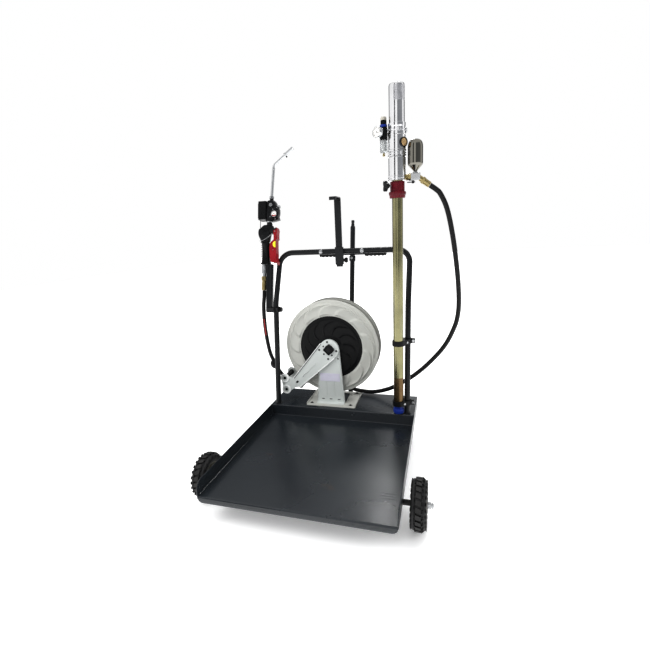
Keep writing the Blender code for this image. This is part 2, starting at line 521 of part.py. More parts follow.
def build_outlet():
    side = Vector((PUMP_X, PUMP_Y, 1.1530))
    start = side + X * 0.0318
    nut = prism(hexagon(0.0240), 0, 0.0220, start, X, Z)
    tee = block(tuple(side + Vector((0.0525, -0.0120, -0.0140))), tuple(side + Vector((0.0880, 0.0120, 0.0125))))
    boss = rod(0.0095, side + Vector((0.0688, 0, 0.0100)), side + Vector((0.0688, 0, 0.0170)), 20)
    way = Vector((0.80, 0.06, -0.60)).normalized()
    root = side + Vector((0.0800, 0.0, -0.0020))
    ferrule = [(0, 0), (0.0100, 0), (0.0100, 0.0180), (0.0125, 0.0180), (0.0125, 0.0290), (0.0112, 0.0295),
               (0.0118, 0.0543), (0, 0.0543)]
    part("outlet_tee", nut, (ZINC, 0.8, 0.35), joined=[tee, boss, lathe(ferrule, root, way, 16, (0.2, 1, 0))])
    pivot = side + Vector((0.0600, 0, -0.0143))
    plate = block(tuple(pivot + Vector((-0.0220, -0.0070, -0.0065))), tuple(pivot + Vector((0.0080, 0.0070, -0.0035))))
    stub = rod(0.0045, pivot, pivot - Z * 0.0100, 16)
    part("shutoff_lever", plate, (BLACK, 0, 0.5), tuple(pivot), joined=[stub])
    top = side + Vector((0.0688, 0, 0.0173))
    dome = [(0, 0), (0.0060, 0), (0.0100, 0.0060), (0.0270, 0.0230), (0.0290, 0.0290), (0.0290, 0.0930),
            (0.0265, 0.1060), (0.0190, 0.1140), (0.0080, 0.1175), (0, 0.1180)]
    part("surge_damper", lathe(dome, top, Z, 24), (CHROME, 1, 0.12))
    return root + way * 0.0553, way


def build_regulator():
    c = Vector((0.2215, PUMP_Y, 0))
    core = prism(round_box(0.0145, 0.0145, 0.004, 2), 1.3005, 1.3300, c)
    neck = rod(0.0125, c + Z * 1.3290, c + Z * 1.3405, 24)
    nipple = rod(0.0060, c + Vector((0.0135, 0, 1.3230)), Vector((PUMP_X - PUMP_R - GAP - 0.0012, PUMP_Y, 1.3230)), 16)
    out = Vector((-0.58, -0.81, 0)).normalized()
    stem = rod(0.0050, c + out * 0.0100 + Z * 1.3180, c + out * 0.0240 + Z * 1.3180, 16)
    part("regulator_body", core, (BLACK, 0, 0.45), joined=[neck, nipple, stem])
    knob = [(0, 1.3780), (0.0100, 1.3780), (0.0112, 1.3760), (0.0108, 1.3660), (0.0108, 1.3505), (0.0138, 1.3500),
            (0.0138, 1.3410), (0, 1.3408)]
    part("regulator_knob", lathe(knob, c, Z, 24), (BLACK, 0, 0.45), (c.x, c.y, 1.3500))
    bowl = [(0, 1.3000), (0.0142, 1.3000), (0.0142, 1.2530), (0.0120, 1.2480), (0.0050, 1.2460), (0.0050, 1.2370),
            (0.0028, 1.2360), (0, 1.2360)]
    part("filter_bowl", lathe(bowl, c, Z, 24), ((0.75, 0.78, 0.80), 0, 0.1))
    dial = [(0, 0.0243), (0.0195, 0.0243), (0.0215, 0.0260), (0.0215, 0.0390), (0.0190, 0.0410), (0, 0.0410)]
    part("pressure_gauge", lathe(dial, c + Z * 1.3210, out, 28), (CHROME, 1, 0.2))


def gun_piece(name, mesh, look, joint=None, **more):
    place = lean_matrix(GUN_X, GUN_Y, GUN_Z, GUN_LEAN)
    for item in [mesh] + list(more.get("joined", ())) + list(more.get("cut", ())):
        item.transform(place)
    origin = place @ Vector(joint) if joint else Vector((0, 0, 0))
    return part(name, mesh, look, tuple(origin), **more)


def build_gun():
    grip = [(-0.0215, 0.0005), (0.0120, 0.0005), (0.0130, 0.0050), (0.0090, 0.0110), (0.0080, 0.0600),
            (0.0090, 0.0990), (0.0360, 0.1150), (0.0400, 0.1450), (0.0330, 0.1840), (-0.0080, 0.1870),
            (-0.0380, 0.1640), (-0.0380, 0.1350), (-0.0220, 0.1080), (-0.0170, 0.0500), (-0.0190, 0.0160)]
    handle = prism(grip, -0.0150, 0.0150, (0, 0, 0), -Y, X)
    slot = prism([(0.0145, 0.1060), (0.0500, 0.1060), (0.0500, 0.1660), (0.0435, 0.1660), (0.0280, 0.1500),
                  (0.0145, 0.1260)], -0.0085, 0.0085, (0, 0, 0), -Y, X)
    pin_hole = rod(0.0027, (0.0350, -0.0200, 0.1560), (0.0350, 0.0200, 0.1560), 16)
    neck = rod(0.0130, (0.0170, 0, 0.1800), (0.0170, 0, 0.1960), 24)
    gun_piece("gun_body", handle, (BLACK, 0.1, 0.4), joined=[neck], cut=[slot])
    lever = [(0.0385, 0.1545), (0.0475, 0.1600), (0.0625, 0.1590), (0.0620, 0.1180), (0.0600, 0.0120),
             (0.0560, 0.0060), (0.0350, 0.0080), (0.0290, 0.0150), (0.0270, 0.0850), (0.0330, 0.0980), (0.0385, 0.1080)]
    blade = prism(lever, -0.0080, 0.0080, (0, 0, 0), -Y, X)
    notch = rod(0.0068, (0.0460, -0.0100, 0.0920), (0.0460, 0.0100, 0.0920), 20)
    gun_piece("gun_trigger", blade, (RED, 0, 0.4), (0.0480, 0, 0.1520), cut=[notch])
    button = rod(0.0064, (0.0460, -0.0105, 0.0920), (0.0460, 0.0105, 0.0920), 20)
    gun_piece("trigger_lock_button", button, ((0.80, 0.72, 0.03), 0, 0.4), (0.0460, 0, 0.0920))
    cuff = [(0, -0.1230), (0.0122, -0.1230), (0.0118, -0.0850), (0.0118, -0.0770), (0.0137, -0.0765), (0.0137, -0.0570),
            (0.0100, -0.0560), (0.0100, -0.0440), (0.0140, -0.0430), (0.0140, -0.0005), (0, -0.0003)]
    gun_piece("gun_hose_swivel", lathe(cuff, (-0.0085, 0, 0), Z, 24), (ZINC, 0.9, 0.3), (-0.0085, 0, -0.0200))
    ring = [(0, 0.1963), (0.0165, 0.1963), (0.0165, 0.2030), (0, 0.2030)]
    housing = prism(round_box(0.0290, 0.0200, 0.008, 3), 0.2025, 0.2990, (0.0380, 0, 0))
    link = block((0.0020, -0.0120, 0.2020), (0.0200, 0.0120, 0.2300))
    plugs = [prism(hexagon(0.0150), 0.0180, 0.0260, (0.0243, 0, 0.2790), -Y, Z),
             prism(hexagon(0.0150), 0.0255, 0.0340, (0.0360, 0, 0.2660), X, Z)]
    outlet = rod(0.0090, (0.0270, 0, 0.2980), (0.0270, 0, 0.3085), 20)
    box = prism(round_box(0.0240, 0.0260, 0.006, 3), 0.2090, 0.2970, (-0.0145, 0, 0))
    gun_piece("flow_meter", lathe(ring, (0.0170, 0, 0), Z, 24), (BLACK, 0.1, 0.4),
              joined=[housing, box, link, outlet] + plugs)
    dial = [(0, 0.0203), (0.0140, 0.0203), (0.0145, 0.0225), (0.0135, 0.0255), (0, 0.0255)]
    gun_piece("meter_dial", lathe(dial, (0.0425, 0, 0.2400), -Y, 24), ((0.85, 0.85, 0.85), 0, 0.3))
    path = fillet([(0.0270, 0, 0.3205), (0.0362, 0, 0.4640), (0.1289, 0, 0.5350)], [0.0300], 5)
    pipe = sweep(path, 0.0068, 16)
    nut = prism(hexagon(0.0190), 0.3088, 0.3220, (0.0270, 0, 0))
    way = (Vector((0.1289, 0, 0.5350)) - Vector((0.0362, 0, 0.4640))).normalized()
    tip = rod(0.0085, Vector((0.1289, 0, 0.5350)) - way * 0.045, Vector((0.1289, 0, 0.5350)) + way * 0.004, 20)
    gun_piece("gun_spout", pipe, (CHROME, 1, 0.15), joined=[nut, tip])
    place = lean_matrix(GUN_X, GUN_Y, GUN_Z, GUN_LEAN)
    return place @ Vector((-0.0085, 0, -0.1239)), (place.to_3x3() @ -Z)


def build_hoses(feed_start, feed_way, gun_end, gun_way):
    feed = [feed_start, feed_start + feed_way * 0.030, (0.4350, 0.1230, 1.0850), (0.4570, 0.1290, 1.0400),
            (0.4735, 0.1370, 0.9811), (0.4899, 0.1470, 0.8966), (0.5027, 0.1570, 0.8100), (0.5115, 0.1660, 0.7332),
            (0.5165, 0.1760, 0.6549), (0.5145, 0.1860, 0.5960), (0.5021, 0.1960, 0.5382), (0.4652, 0.2110, 0.4522),
            (0.4017, 0.2330, 0.3640), (0.3248, 0.2540, 0.2841), (0.2350, 0.2760, 0.2170), (0.1900, 0.2860, 0.1930),
            (0.1400, 0.2960, 0.1755), (0.0950, 0.3010, 0.1712), (0.0300, 0.3020, 0.1800), (-0.0250, 0.3020, 0.2150),
            (-0.0490, 0.3020, 0.2700), (-0.0520, 0.3020, 0.3300), (REEL_X, 0.3020, REEL_Z - 0.0523)]
    hose("pump_outlet_hose", feed, FEED_R, (RUBBER, 0, 0.5))
    ball = Vector((-0.3490, 0.2080, 0.3286))
    way = Vector((0.42, 0.02, -0.90)).normalized()
    delivery = [gun_end, gun_end + gun_way * 0.030, (-0.3770, 0.1870, 0.6300), (-0.3785, 0.1850, 0.5800),
                (-0.3775, 0.1850, 0.5200), (-0.3740, 0.1880, 0.4600), (-0.3690, 0.1950, 0.4000),
                ball - way * 0.035, ball, ball + way * 0.035, (-0.3090, 0.2110, 0.2640),
                (-0.2830, 0.2110, 0.2470), (-0.2500, 0.2110, 0.2440), (-0.2000, 0.2110, 0.2445), (-0.1450, 0.2110, 0.2450)]
    hose("delivery_hose", delivery, HOSE_R, (RUBBER, 0, 0.5))
    slope = [math.radians(a) for a in range(-66, 67, 22)]
    profile = [(0.0250 * math.cos(a), 0.0250 * math.sin(a)) for a in slope]
    profile += [(HOSE_R + 0.0020, 0.0226), (HOSE_R + 0.0020, -0.0226)]
    part("hose_stop_ball", lathe(profile, ball, way, 20), (RUBBER, 0, 0.6))


build_tray()
build_wheels()
build_casters()
build_frame()
build_drum_hook()
build_gun_holder()
build_tow_bar()
build_reel_stand()
build_reel_arm()
build_reel_drum()
build_pump()
feed_end = build_outlet()
build_regulator()
gun_port = build_gun()
build_hoses(*feed_end, *gun_port)
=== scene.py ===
import math

import bmesh
import bpy
from mathutils import Matrix, Vector
from mathutils.geometry import tessellate_polygon


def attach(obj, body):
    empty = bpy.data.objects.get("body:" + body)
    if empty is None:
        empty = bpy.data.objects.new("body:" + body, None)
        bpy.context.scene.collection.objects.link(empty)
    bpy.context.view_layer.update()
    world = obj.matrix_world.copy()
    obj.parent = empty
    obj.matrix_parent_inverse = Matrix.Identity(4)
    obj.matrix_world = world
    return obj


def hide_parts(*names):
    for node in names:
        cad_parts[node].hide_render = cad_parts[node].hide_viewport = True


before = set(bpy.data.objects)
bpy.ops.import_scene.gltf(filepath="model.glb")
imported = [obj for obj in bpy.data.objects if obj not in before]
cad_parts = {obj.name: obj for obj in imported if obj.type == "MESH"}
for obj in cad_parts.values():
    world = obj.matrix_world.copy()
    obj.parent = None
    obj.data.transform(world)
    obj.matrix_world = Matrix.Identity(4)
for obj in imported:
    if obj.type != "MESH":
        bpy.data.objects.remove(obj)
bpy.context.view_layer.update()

X, Y, Z = Vector((1, 0, 0)), Vector((0, 1, 0)), Vector((0, 0, 1))
TAU = 2 * math.pi

# The camera that matches the photo: place in metres, turn in radians, lens in millimetres.
EYE, EYE_TURN = (0.4524, -1.5659, 0.9665), (0.2914, -0.23, -0.0487)
SENSOR, LENS = 36, 402.65 / 650 * 36

# Driving dimensions, as in the CAD.
SHEET, TRAY_HALF = 0.003, 0.3415
TRAY_FRONT, STEP_Y, SHELF_REAR = -0.542, 0.1063, 0.3194
FLOOR_Z, SHELF_Z, LIP_DROP = 0.105, 0.1554, 0.022
WHEEL_R, WHEEL_HALF, WHEEL_X, WHEEL_Y = 0.0844, 0.0258, 0.391, -0.3916
TUBE_R = 0.0125
LEG_X, LEG_Y, KNEE_Y, KNEE_Z, BAR_Y, BAR_Z = 0.309, 0.1221, 0.1801, 0.6406, 0.2837, 0.8697
PUMP_X, PUMP_Y, SUCTION_R, PUMP_R = 0.2727, 0.114, 0.021, 0.0303
REEL_X, REEL_Z, FRONT_Y, REAR_Y = -0.052, 0.4275, 0.199, 0.28
COIL_OUT, HOSE_R, FEED_R = 0.18, 0.0092, 0.0096
TOW_Y, TOW_Z, LEAN = 0.346, 0.125, math.radians(12)
DIAL_U, DIAL_W = 0.049, 0.233
GUN = Matrix.Translation((-0.3635, 0.2222, 0.822)) @ Matrix.Rotation(-LEAN, 4, "X")
TOW = Matrix.Translation((0, TOW_Y, TOW_Z)) @ Matrix.Rotation(-LEAN, 4, "X")

# The faces of an eight-cornered block, its corners listed as a grid or as two rings.
BRICK = [[0, 1, 3, 2], [4, 6, 7, 5], [0, 4, 5, 1], [2, 3, 7, 6], [1, 5, 7, 3], [0, 2, 6, 4]]
SLAB = [[0, 3, 2, 1], [4, 5, 6, 7], [0, 1, 5, 4], [1, 2, 6, 5], [2, 3, 7, 6], [3, 0, 4, 7]]


# ---------------------------------------------------------------- camera, lights and floor
def camera():
    yaw, pitch, roll = EYE_TURN
    ahead = Vector((-math.sin(yaw) * math.cos(pitch), math.cos(yaw) * math.cos(pitch),
                    math.sin(pitch)))
    side = Vector((math.cos(yaw), math.sin(yaw), 0))
    up = side.cross(ahead)
    right = side * math.cos(roll) + up * math.sin(roll)
    top = up * math.cos(roll) - side * math.sin(roll)
    data = bpy.data.cameras.new("camera")
    data.sensor_width, data.lens, data.clip_start = SENSOR, LENS, 0.05
    eye = bpy.data.objects.new("camera", data)
    turn = Matrix((right, top, -ahead)).transposed().to_4x4()
    eye.matrix_world = Matrix.Translation(EYE) @ turn
    bpy.context.scene.collection.objects.link(eye)
    bpy.context.scene.camera = eye


def lamp(name, place, target, size, power, mirrored=False):
    """An area lamp that only shows in reflections when it is mirrored."""
    data = bpy.data.lights.new(name, "AREA")
    data.shape, data.size, data.size_y, data.energy = "RECTANGLE", *size, power
    obj = bpy.data.objects.new(name, data)
    aim = (Vector(target) - Vector(place)).to_track_quat("-Z", "Y")
    obj.matrix_world = Matrix.Translation(place) @ aim.to_matrix().to_4x4()
    obj.visible_glossy = mirrored
    bpy.context.scene.collection.objects.link(obj)


def soft_box(tree):
    """A white room for the eye; reflections also see the darker walls between its soft boxes."""
    new, link = tree.nodes.new, tree.links.new
    way = new("ShaderNodeSeparateXYZ")
    link(new("ShaderNodeTexCoord").outputs["Generated"], way.inputs[0])
    turn = new("ShaderNodeMath")
    turn.operation = "ARCTAN2"
    link(way.outputs["Y"], turn.inputs[0])
    link(way.outputs["X"], turn.inputs[1])
    share = new("ShaderNodeMapRange")
    share.inputs["From Min"].default_value = -math.pi
    share.inputs["From Max"].default_value = math.pi
    link(turn.outputs[0], share.inputs["Value"])
    ramp = new("ShaderNodeValToRGB")
    bands = [(-180, 0.9), (-128, 1.0), (-124, 0.04), (-112, 0.04), (-108, 1.0), (-84, 1.0),
             (-78, 0.26), (-8, 0.34), (2, 1.0), (26, 1.0), (30, 0.08), (52, 0.1), (56, 0.9),
             (96, 0.8), (104, 0.12), (140, 0.16), (150, 0.9), (180, 0.9)]
    stops = ramp.color_ramp.elements
    while len(stops) < len(bands):
        stops.new(0.5)
    for stop, (azimuth, level) in zip(stops, bands):
        stop.position = (azimuth + 180) / 360
        stop.color = (level, level * 1.03, level * 1.08, 1) if level < 0.5 else (level * 1.15,
                level * 1.15, level * 1.15, 1)
    link(share.outputs["Result"], ramp.inputs["Fac"])
    height = new("ShaderNodeMapRange")
    height.inputs["From Min"].default_value, height.inputs["From Max"].default_value = 0.55, 0.75
    link(way.outputs["Z"], height.inputs["Value"])
    room = new("ShaderNodeMix")
    room.data_type = "RGBA"
    link(height.outputs["Result"], room.inputs[0])
    link(ramp.outputs["Color"], room.inputs[6])
    room.inputs[7].default_value = (1, 1, 1, 1)
    seen = new("ShaderNodeMix")
    seen.data_type = "RGBA"
    link(new("ShaderNodeLightPath").outputs["Is Camera Ray"], seen.inputs[0])
    link(room.outputs[2], seen.inputs[6])
    seen.inputs[7].default_value = (1, 1, 1, 1)
    link(seen.outputs[2], tree.nodes["Background"].inputs["Color"])
    tree.nodes["Background"].inputs["Strength"].default_value = 1.0


def glow_with_distance(material):
    """Fades the floor into the white backdrop far from the object."""
    tree = material.node_tree
    reach = tree.nodes.new("ShaderNodeVectorMath")
    reach.operation = "LENGTH"
    tree.links.new(tree.nodes.new("ShaderNodeTexCoord").outputs["Object"], reach.inputs[0])
    rise = tree.nodes.new("ShaderNodeMapRange")
    rise.interpolation_type = "SMOOTHSTEP"
    for key, value in (("From Min", 0.6), ("From Max", 5.0), ("To Min", 0.3), ("To Max", 0.9)):
        rise.inputs[key].default_value = value
    tree.links.new(reach.outputs["Value"], rise.inputs["Value"])
    shader = tree.nodes["Principled BSDF"]
    shader.inputs["Emission Color"].default_value = (1, 1, 1, 1)
    tree.links.new(rise.outputs["Result"], shader.inputs["Emission Strength"])


def studio():
    camera()
    lamp("key", (-1.6, -1.8, 2.9), (0, 0, 0.4), (1.8, 1.8), 70)
    lamp("side", (2.4, -0.6, 1.9), (0, 0, 0.6), (1.0, 1.8), 26)
    lamp("back", (0.4, 2.6, 2.6), (0, 0, 0.4), (2.6, 1.2), 48)
    lamp("glint", (0.03, 1.62, 2.22), (0.3, -0.5, 0.1), (0.3, 0.3), 7, mirrored=True)
    world = bpy.data.worlds.new("studio")
    bpy.context.scene.world = world
    world.use_nodes = True
    soft_box(world.node_tree)
    bpy.context.scene.view_settings.view_transform = "Standard"
    bpy.context.scene.view_settings.gamma = 0.84
    mesh = bpy.data.meshes.new("floor")
    mesh.from_pydata([(-9, -6, -0.0005), (9, -6, -0.0005), (9, 14, -0.0005), (-9, 14, -0.0005)], [],
                     [(0, 1, 2, 3)])
    floor = bpy.data.objects.new("floor", mesh)
    bpy.context.scene.collection.objects.link(floor)
    paint = surface("floor_paint", (0.9, 0.9, 0.9), 0.6, grain=60, bump=0.02, var=0.01)
    mesh.materials.append(paint)
    glow_with_distance(paint)


# ---------------------------------------------------------------- materials
def surface(name, colour, rough, metal=0.0, var=0.08, patch=5.0, grain=500.0, bump=0.05,
            depth=0.0004, stretch=(1, 1, 1), edge_wear_and_highlight=None, spread=0.08, glass=0.0, marks=None,
            flaw=None, spec=0.5):
    """A surface with patchy colour and gloss, fine grain, optional scratches and lighter edges."""
    material = bpy.data.materials.new(name)
    material.use_nodes = True
    tree = material.node_tree
    shader = tree.nodes["Principled BSDF"]
    new, link = tree.nodes.new, tree.links.new
    spot = new("ShaderNodeTexCoord").outputs["Object"]
    shape = new("ShaderNodeMapping")
    shape.inputs["Scale"].default_value = stretch
    link(spot, shape.inputs["Vector"])
    blotch = new("ShaderNodeTexNoise")
    blotch.inputs["Scale"].default_value, blotch.inputs["Detail"].default_value = patch, 5
    link(spot, blotch.inputs["Vector"])
    fine = new("ShaderNodeTexNoise")
    fine.inputs["Scale"].default_value, fine.inputs["Detail"].default_value = grain, 3
    link(shape.outputs["Vector"], fine.inputs["Vector"])
    tint = new("ShaderNodeMix")
    tint.data_type = "RGBA"
    tint.inputs[6].default_value = (*[c * (1 - var * 2) for c in colour], 1)
    tint.inputs[7].default_value = (*[min(1, c * (1 + var * 2)) for c in colour], 1)
    blend = new("ShaderNodeMath")
    blend.operation, blend.use_clamp = "MULTIPLY_ADD", True
    blend.inputs[1].default_value, blend.inputs[2].default_value = 1.6, -0.3
    link(blotch.outputs["Fac"], blend.inputs[0])
    link(blend.outputs[0], tint.inputs[0])
    out = tint.outputs[2]

    def over(factor, shade):
        mix = new("ShaderNodeMix")
        mix.data_type = "RGBA"
        mix.inputs[7].default_value = (*shade, 1)
        link(out, mix.inputs[6])
        link(factor, mix.inputs[0])
        return mix.outputs[2]

    def ramp(source, low, high):
        node = new("ShaderNodeMapRange")
        node.inputs["From Min"].default_value, node.inputs["From Max"].default_value = low, high
        link(source, node.inputs["Value"])
        return node.outputs["Result"]

    if marks:
        lines = new("ShaderNodeTexNoise")
        lines.inputs["Scale"].default_value, lines.inputs["Detail"].default_value = marks[0], 6
        warp = new("ShaderNodeMapping")
        warp.inputs["Scale"].default_value = marks[1]
        warp.inputs["Rotation"].default_value = (0.2, 0.1, 0.6)
        link(spot, warp.inputs["Vector"])
        link(warp.outputs["Vector"], lines.inputs["Vector"])
        out = over(ramp(lines.outputs["Fac"], marks[2], marks[2] + 0.12), marks[3])
    if flaw:
        rust = new("ShaderNodeTexNoise")
        rust.inputs["Scale"].default_value, rust.inputs["Detail"].default_value = flaw[0], 8
        link(spot, rust.inputs["Vector"])
        out = over(ramp(rust.outputs["Fac"], flaw[1], flaw[1] + 0.1), flaw[2])
    # Lighter colour on sharp edges (pointiness): edge wear, and on the stand enamel a painted edge
    # highlight.
    if edge_wear_and_highlight:
        edge = new("ShaderNodeNewGeometry")
        out = over(ramp(edge.outputs["Pointiness"], 0.56, 0.68), edge_wear_and_highlight)
    link(out, shader.inputs["Base Color"])
    gloss = new("ShaderNodeMapRange")
    gloss.inputs["To Min"].default_value, gloss.inputs["To Max"].default_value = max(0.02,
            rough - spread), rough + spread
    gloss.inputs["From Min"].default_value, gloss.inputs["From Max"].default_value = 0.3, 0.7
    link(blotch.outputs["Fac"], gloss.inputs["Value"])
    link(gloss.outputs["Result"], shader.inputs["Roughness"])
    relief = new("ShaderNodeBump")
    relief.inputs["Strength"].default_value, relief.inputs["Distance"].default_value = bump, depth
    link(fine.outputs["Fac"], relief.inputs["Height"])
    link(relief.outputs["Normal"], shader.inputs["Normal"])
    shader.inputs["Metallic"].default_value = metal
    shader.inputs["Specular IOR Level"].default_value = spec
    shader.inputs["Transmission Weight"].default_value = glass
    return material


studio()
COAT = surface("tray_powder_coat", (0.0155, 0.0195, 0.024), 0.26, var=0.1, patch=3.0, grain=900,
               bump=0.1, depth=0.0003, edge_wear_and_highlight=(0.1, 0.11, 0.12), spread=0.07,
               marks=(30, (1, 14, 1), 0.66, (0.034, 0.038, 0.043)),
               flaw=(7, 0.7, (0.045, 0.03, 0.022)), spec=0.66)
PAINT = surface("black_powder_coat", (0.0065, 0.0075, 0.009), 0.33, var=0.12, grain=1100, bump=0.12,
                edge_wear_and_highlight=(0.045, 0.047, 0.05), spec=0.32)
PLASTIC = surface("black_moulded_plastic", (0.0042, 0.0045, 0.005), 0.36, var=0.12, patch=20,
                  grain=1600, bump=0.16, edge_wear_and_highlight=(0.024, 0.024, 0.024), spec=0.2)
SATIN = surface("black_die_cast", (0.0065, 0.007, 0.008), 0.3, metal=0.2, var=0.15, patch=25,
                grain=900, bump=0.2, edge_wear_and_highlight=(0.06, 0.06, 0.065), spec=0.35)
TYRE = surface("tyre_rubber", (0.012, 0.012, 0.0125), 0.46, var=0.22, patch=22, grain=700,
               bump=0.35, depth=0.0006, edge_wear_and_highlight=(0.075, 0.07, 0.064), spec=0.45)
GRIP = surface("grip_rubber", (0.0045, 0.0045, 0.005), 0.55, var=0.15, patch=30, grain=1300,
               bump=0.3, spec=0.28)
RUBBER = surface("hose_rubber", (0.0055, 0.0055, 0.006), 0.42, var=0.18, patch=14, grain=900,
                 bump=0.25, marks=(60, (1, 1, 6), 0.62, (0.018, 0.018, 0.019)), spec=0.3)
RIM = surface("rim_plastic", (0.16, 0.155, 0.125), 0.45, var=0.1, patch=18, grain=900, bump=0.15,
              edge_wear_and_highlight=(0.3, 0.28, 0.24))
ZINC = surface("bright_zinc", (0.5, 0.51, 0.52), 0.3, 1.0, var=0.1, patch=40, grain=1200, bump=0.15,
               spread=0.1)
POLISHED = surface("polished_alloy", (0.82, 0.82, 0.83), 0.15, 1.0, var=0.05, patch=12, grain=3,
                   stretch=(1, 1, 700), bump=0.05, depth=0.0001, spread=0.03)
CHROME = surface("chrome_plate", (0.68, 0.69, 0.7), 0.06, 1.0, var=0.06, patch=16, grain=900,
                 bump=0.01, spread=0.02)
DARK_CHROME = surface("smoked_chrome", (0.26, 0.25, 0.22), 0.08, 1.0, var=0.1, patch=10, grain=900,
                      bump=0.01, spread=0.03)
BRASS = surface("machined_brass", (0.38, 0.31, 0.15), 0.26, 1.0, var=0.12, patch=40, grain=1000,
                bump=0.12)
SINTER = surface("sintered_bronze", (0.6, 0.42, 0.22), 0.55, 0.8, var=0.15, patch=80, grain=1500,
                 bump=0.9)
GOLD = surface("yellow_zinc_tube", (0.29, 0.275, 0.155), 0.22, 1.0, var=0.14, patch=14, grain=4,
               stretch=(160, 160, 2), bump=0.06, spread=0.05,
               marks=(6, (30, 30, 1), 0.58, (0.24, 0.24, 0.19)))
BRONZED = surface("browned_zinc_tube", (0.16, 0.108, 0.056), 0.28, 1.0, var=0.18, patch=22, grain=4,
                  stretch=(160, 160, 2), bump=0.06)
ENAMEL = surface("reel_grey_enamel", (0.47, 0.475, 0.445), 0.36, var=0.035, patch=7, grain=900,
                 bump=0.08, edge_wear_and_highlight=(0.6, 0.6, 0.57), spread=0.05)
# The white on its sharp edges is a painted edge highlight as well as edge wear.
PRESSED = surface("stand_grey_enamel", (0.58, 0.61, 0.595), 0.34, 0.15, var=0.05, patch=9,
                  grain=800, bump=0.08, edge_wear_and_highlight=(0.8, 0.81, 0.8), spread=0.06)
CRIMSON = surface("crimson_plastic", (0.1, 0.005, 0.011), 0.34, var=0.16, patch=30, grain=900,
                  bump=0.12, edge_wear_and_highlight=(0.22, 0.015, 0.03), spec=0.3)
RED = surface("trigger_red", (0.225, 0.006, 0.012), 0.33, var=0.1, patch=35, grain=900, bump=0.12,
              edge_wear_and_highlight=(0.45, 0.03, 0.03), spec=0.28)
YELLOW = surface("button_yellow", (0.8, 0.74, 0.03), 0.35, var=0.06, patch=60, grain=900, bump=0.1)
BLUE = surface("valve_blue", (0.008, 0.03, 0.24), 0.36, var=0.14, patch=40, grain=900, bump=0.12,
               edge_wear_and_highlight=(0.05, 0.1, 0.45), spec=0.35)
WHITE = surface("dial_white", (0.68, 0.67, 0.65), 0.3, var=0.03, patch=60, grain=900, bump=0.02)
# Flat black for dial marks, needles and rivets; also painted shade in holes, slots and along the
# arm's top flange.
FLAT_BLACK_AND_SHADE = surface("flat_black_and_painted_shade", (0.012, 0.012, 0.012), 0.4, var=0.1, patch=60, grain=900, bump=0.02)
CLEAR = surface("bowl_clear", (0.9, 0.92, 0.93), 0.06, var=0.02, patch=30, grain=300, bump=0.02,
                glass=0.85, spread=0.02)
FOIL = surface("blank_foil_plate", (0.6, 0.6, 0.62), 0.34, 0.9, var=0.05, patch=50, grain=900,
               bump=0.08)
STRIPE = surface("hose_red_stripe", (0.3, 0.012, 0.012), 0.45, var=0.12, patch=40, grain=900,
                 bump=0.2)
# White for the arm's boss rims, and for flange strips that are a painted highlight on the arm's
# edges.
BOSS_AND_HIGHLIGHT_WHITE = surface("boss_white_and_painted_highlight", (0.8, 0.81, 0.8), 0.36, var=0.04, patch=20, grain=700,
               bump=0.08)
KNOB = surface("knob_grey_plastic", (0.42, 0.4, 0.35), 0.42, var=0.08, patch=40, grain=900,
               bump=0.15)
TAG = surface("blank_label", (0.58, 0.57, 0.66), 0.42, var=0.03, patch=30, grain=900, bump=0.05)


# ---------------------------------------------------------------- mesh building
def frame_of(origin, along, across=None):
    w = Vector(along).normalized()
    hint = Vector(across) if across else (X if abs(w.x) < 0.9 else Y)
    u = (hint - w * hint.dot(w)).normalized()
    return Matrix.Translation(origin) @ Matrix((u, w.cross(u), w)).transposed().to_4x4()


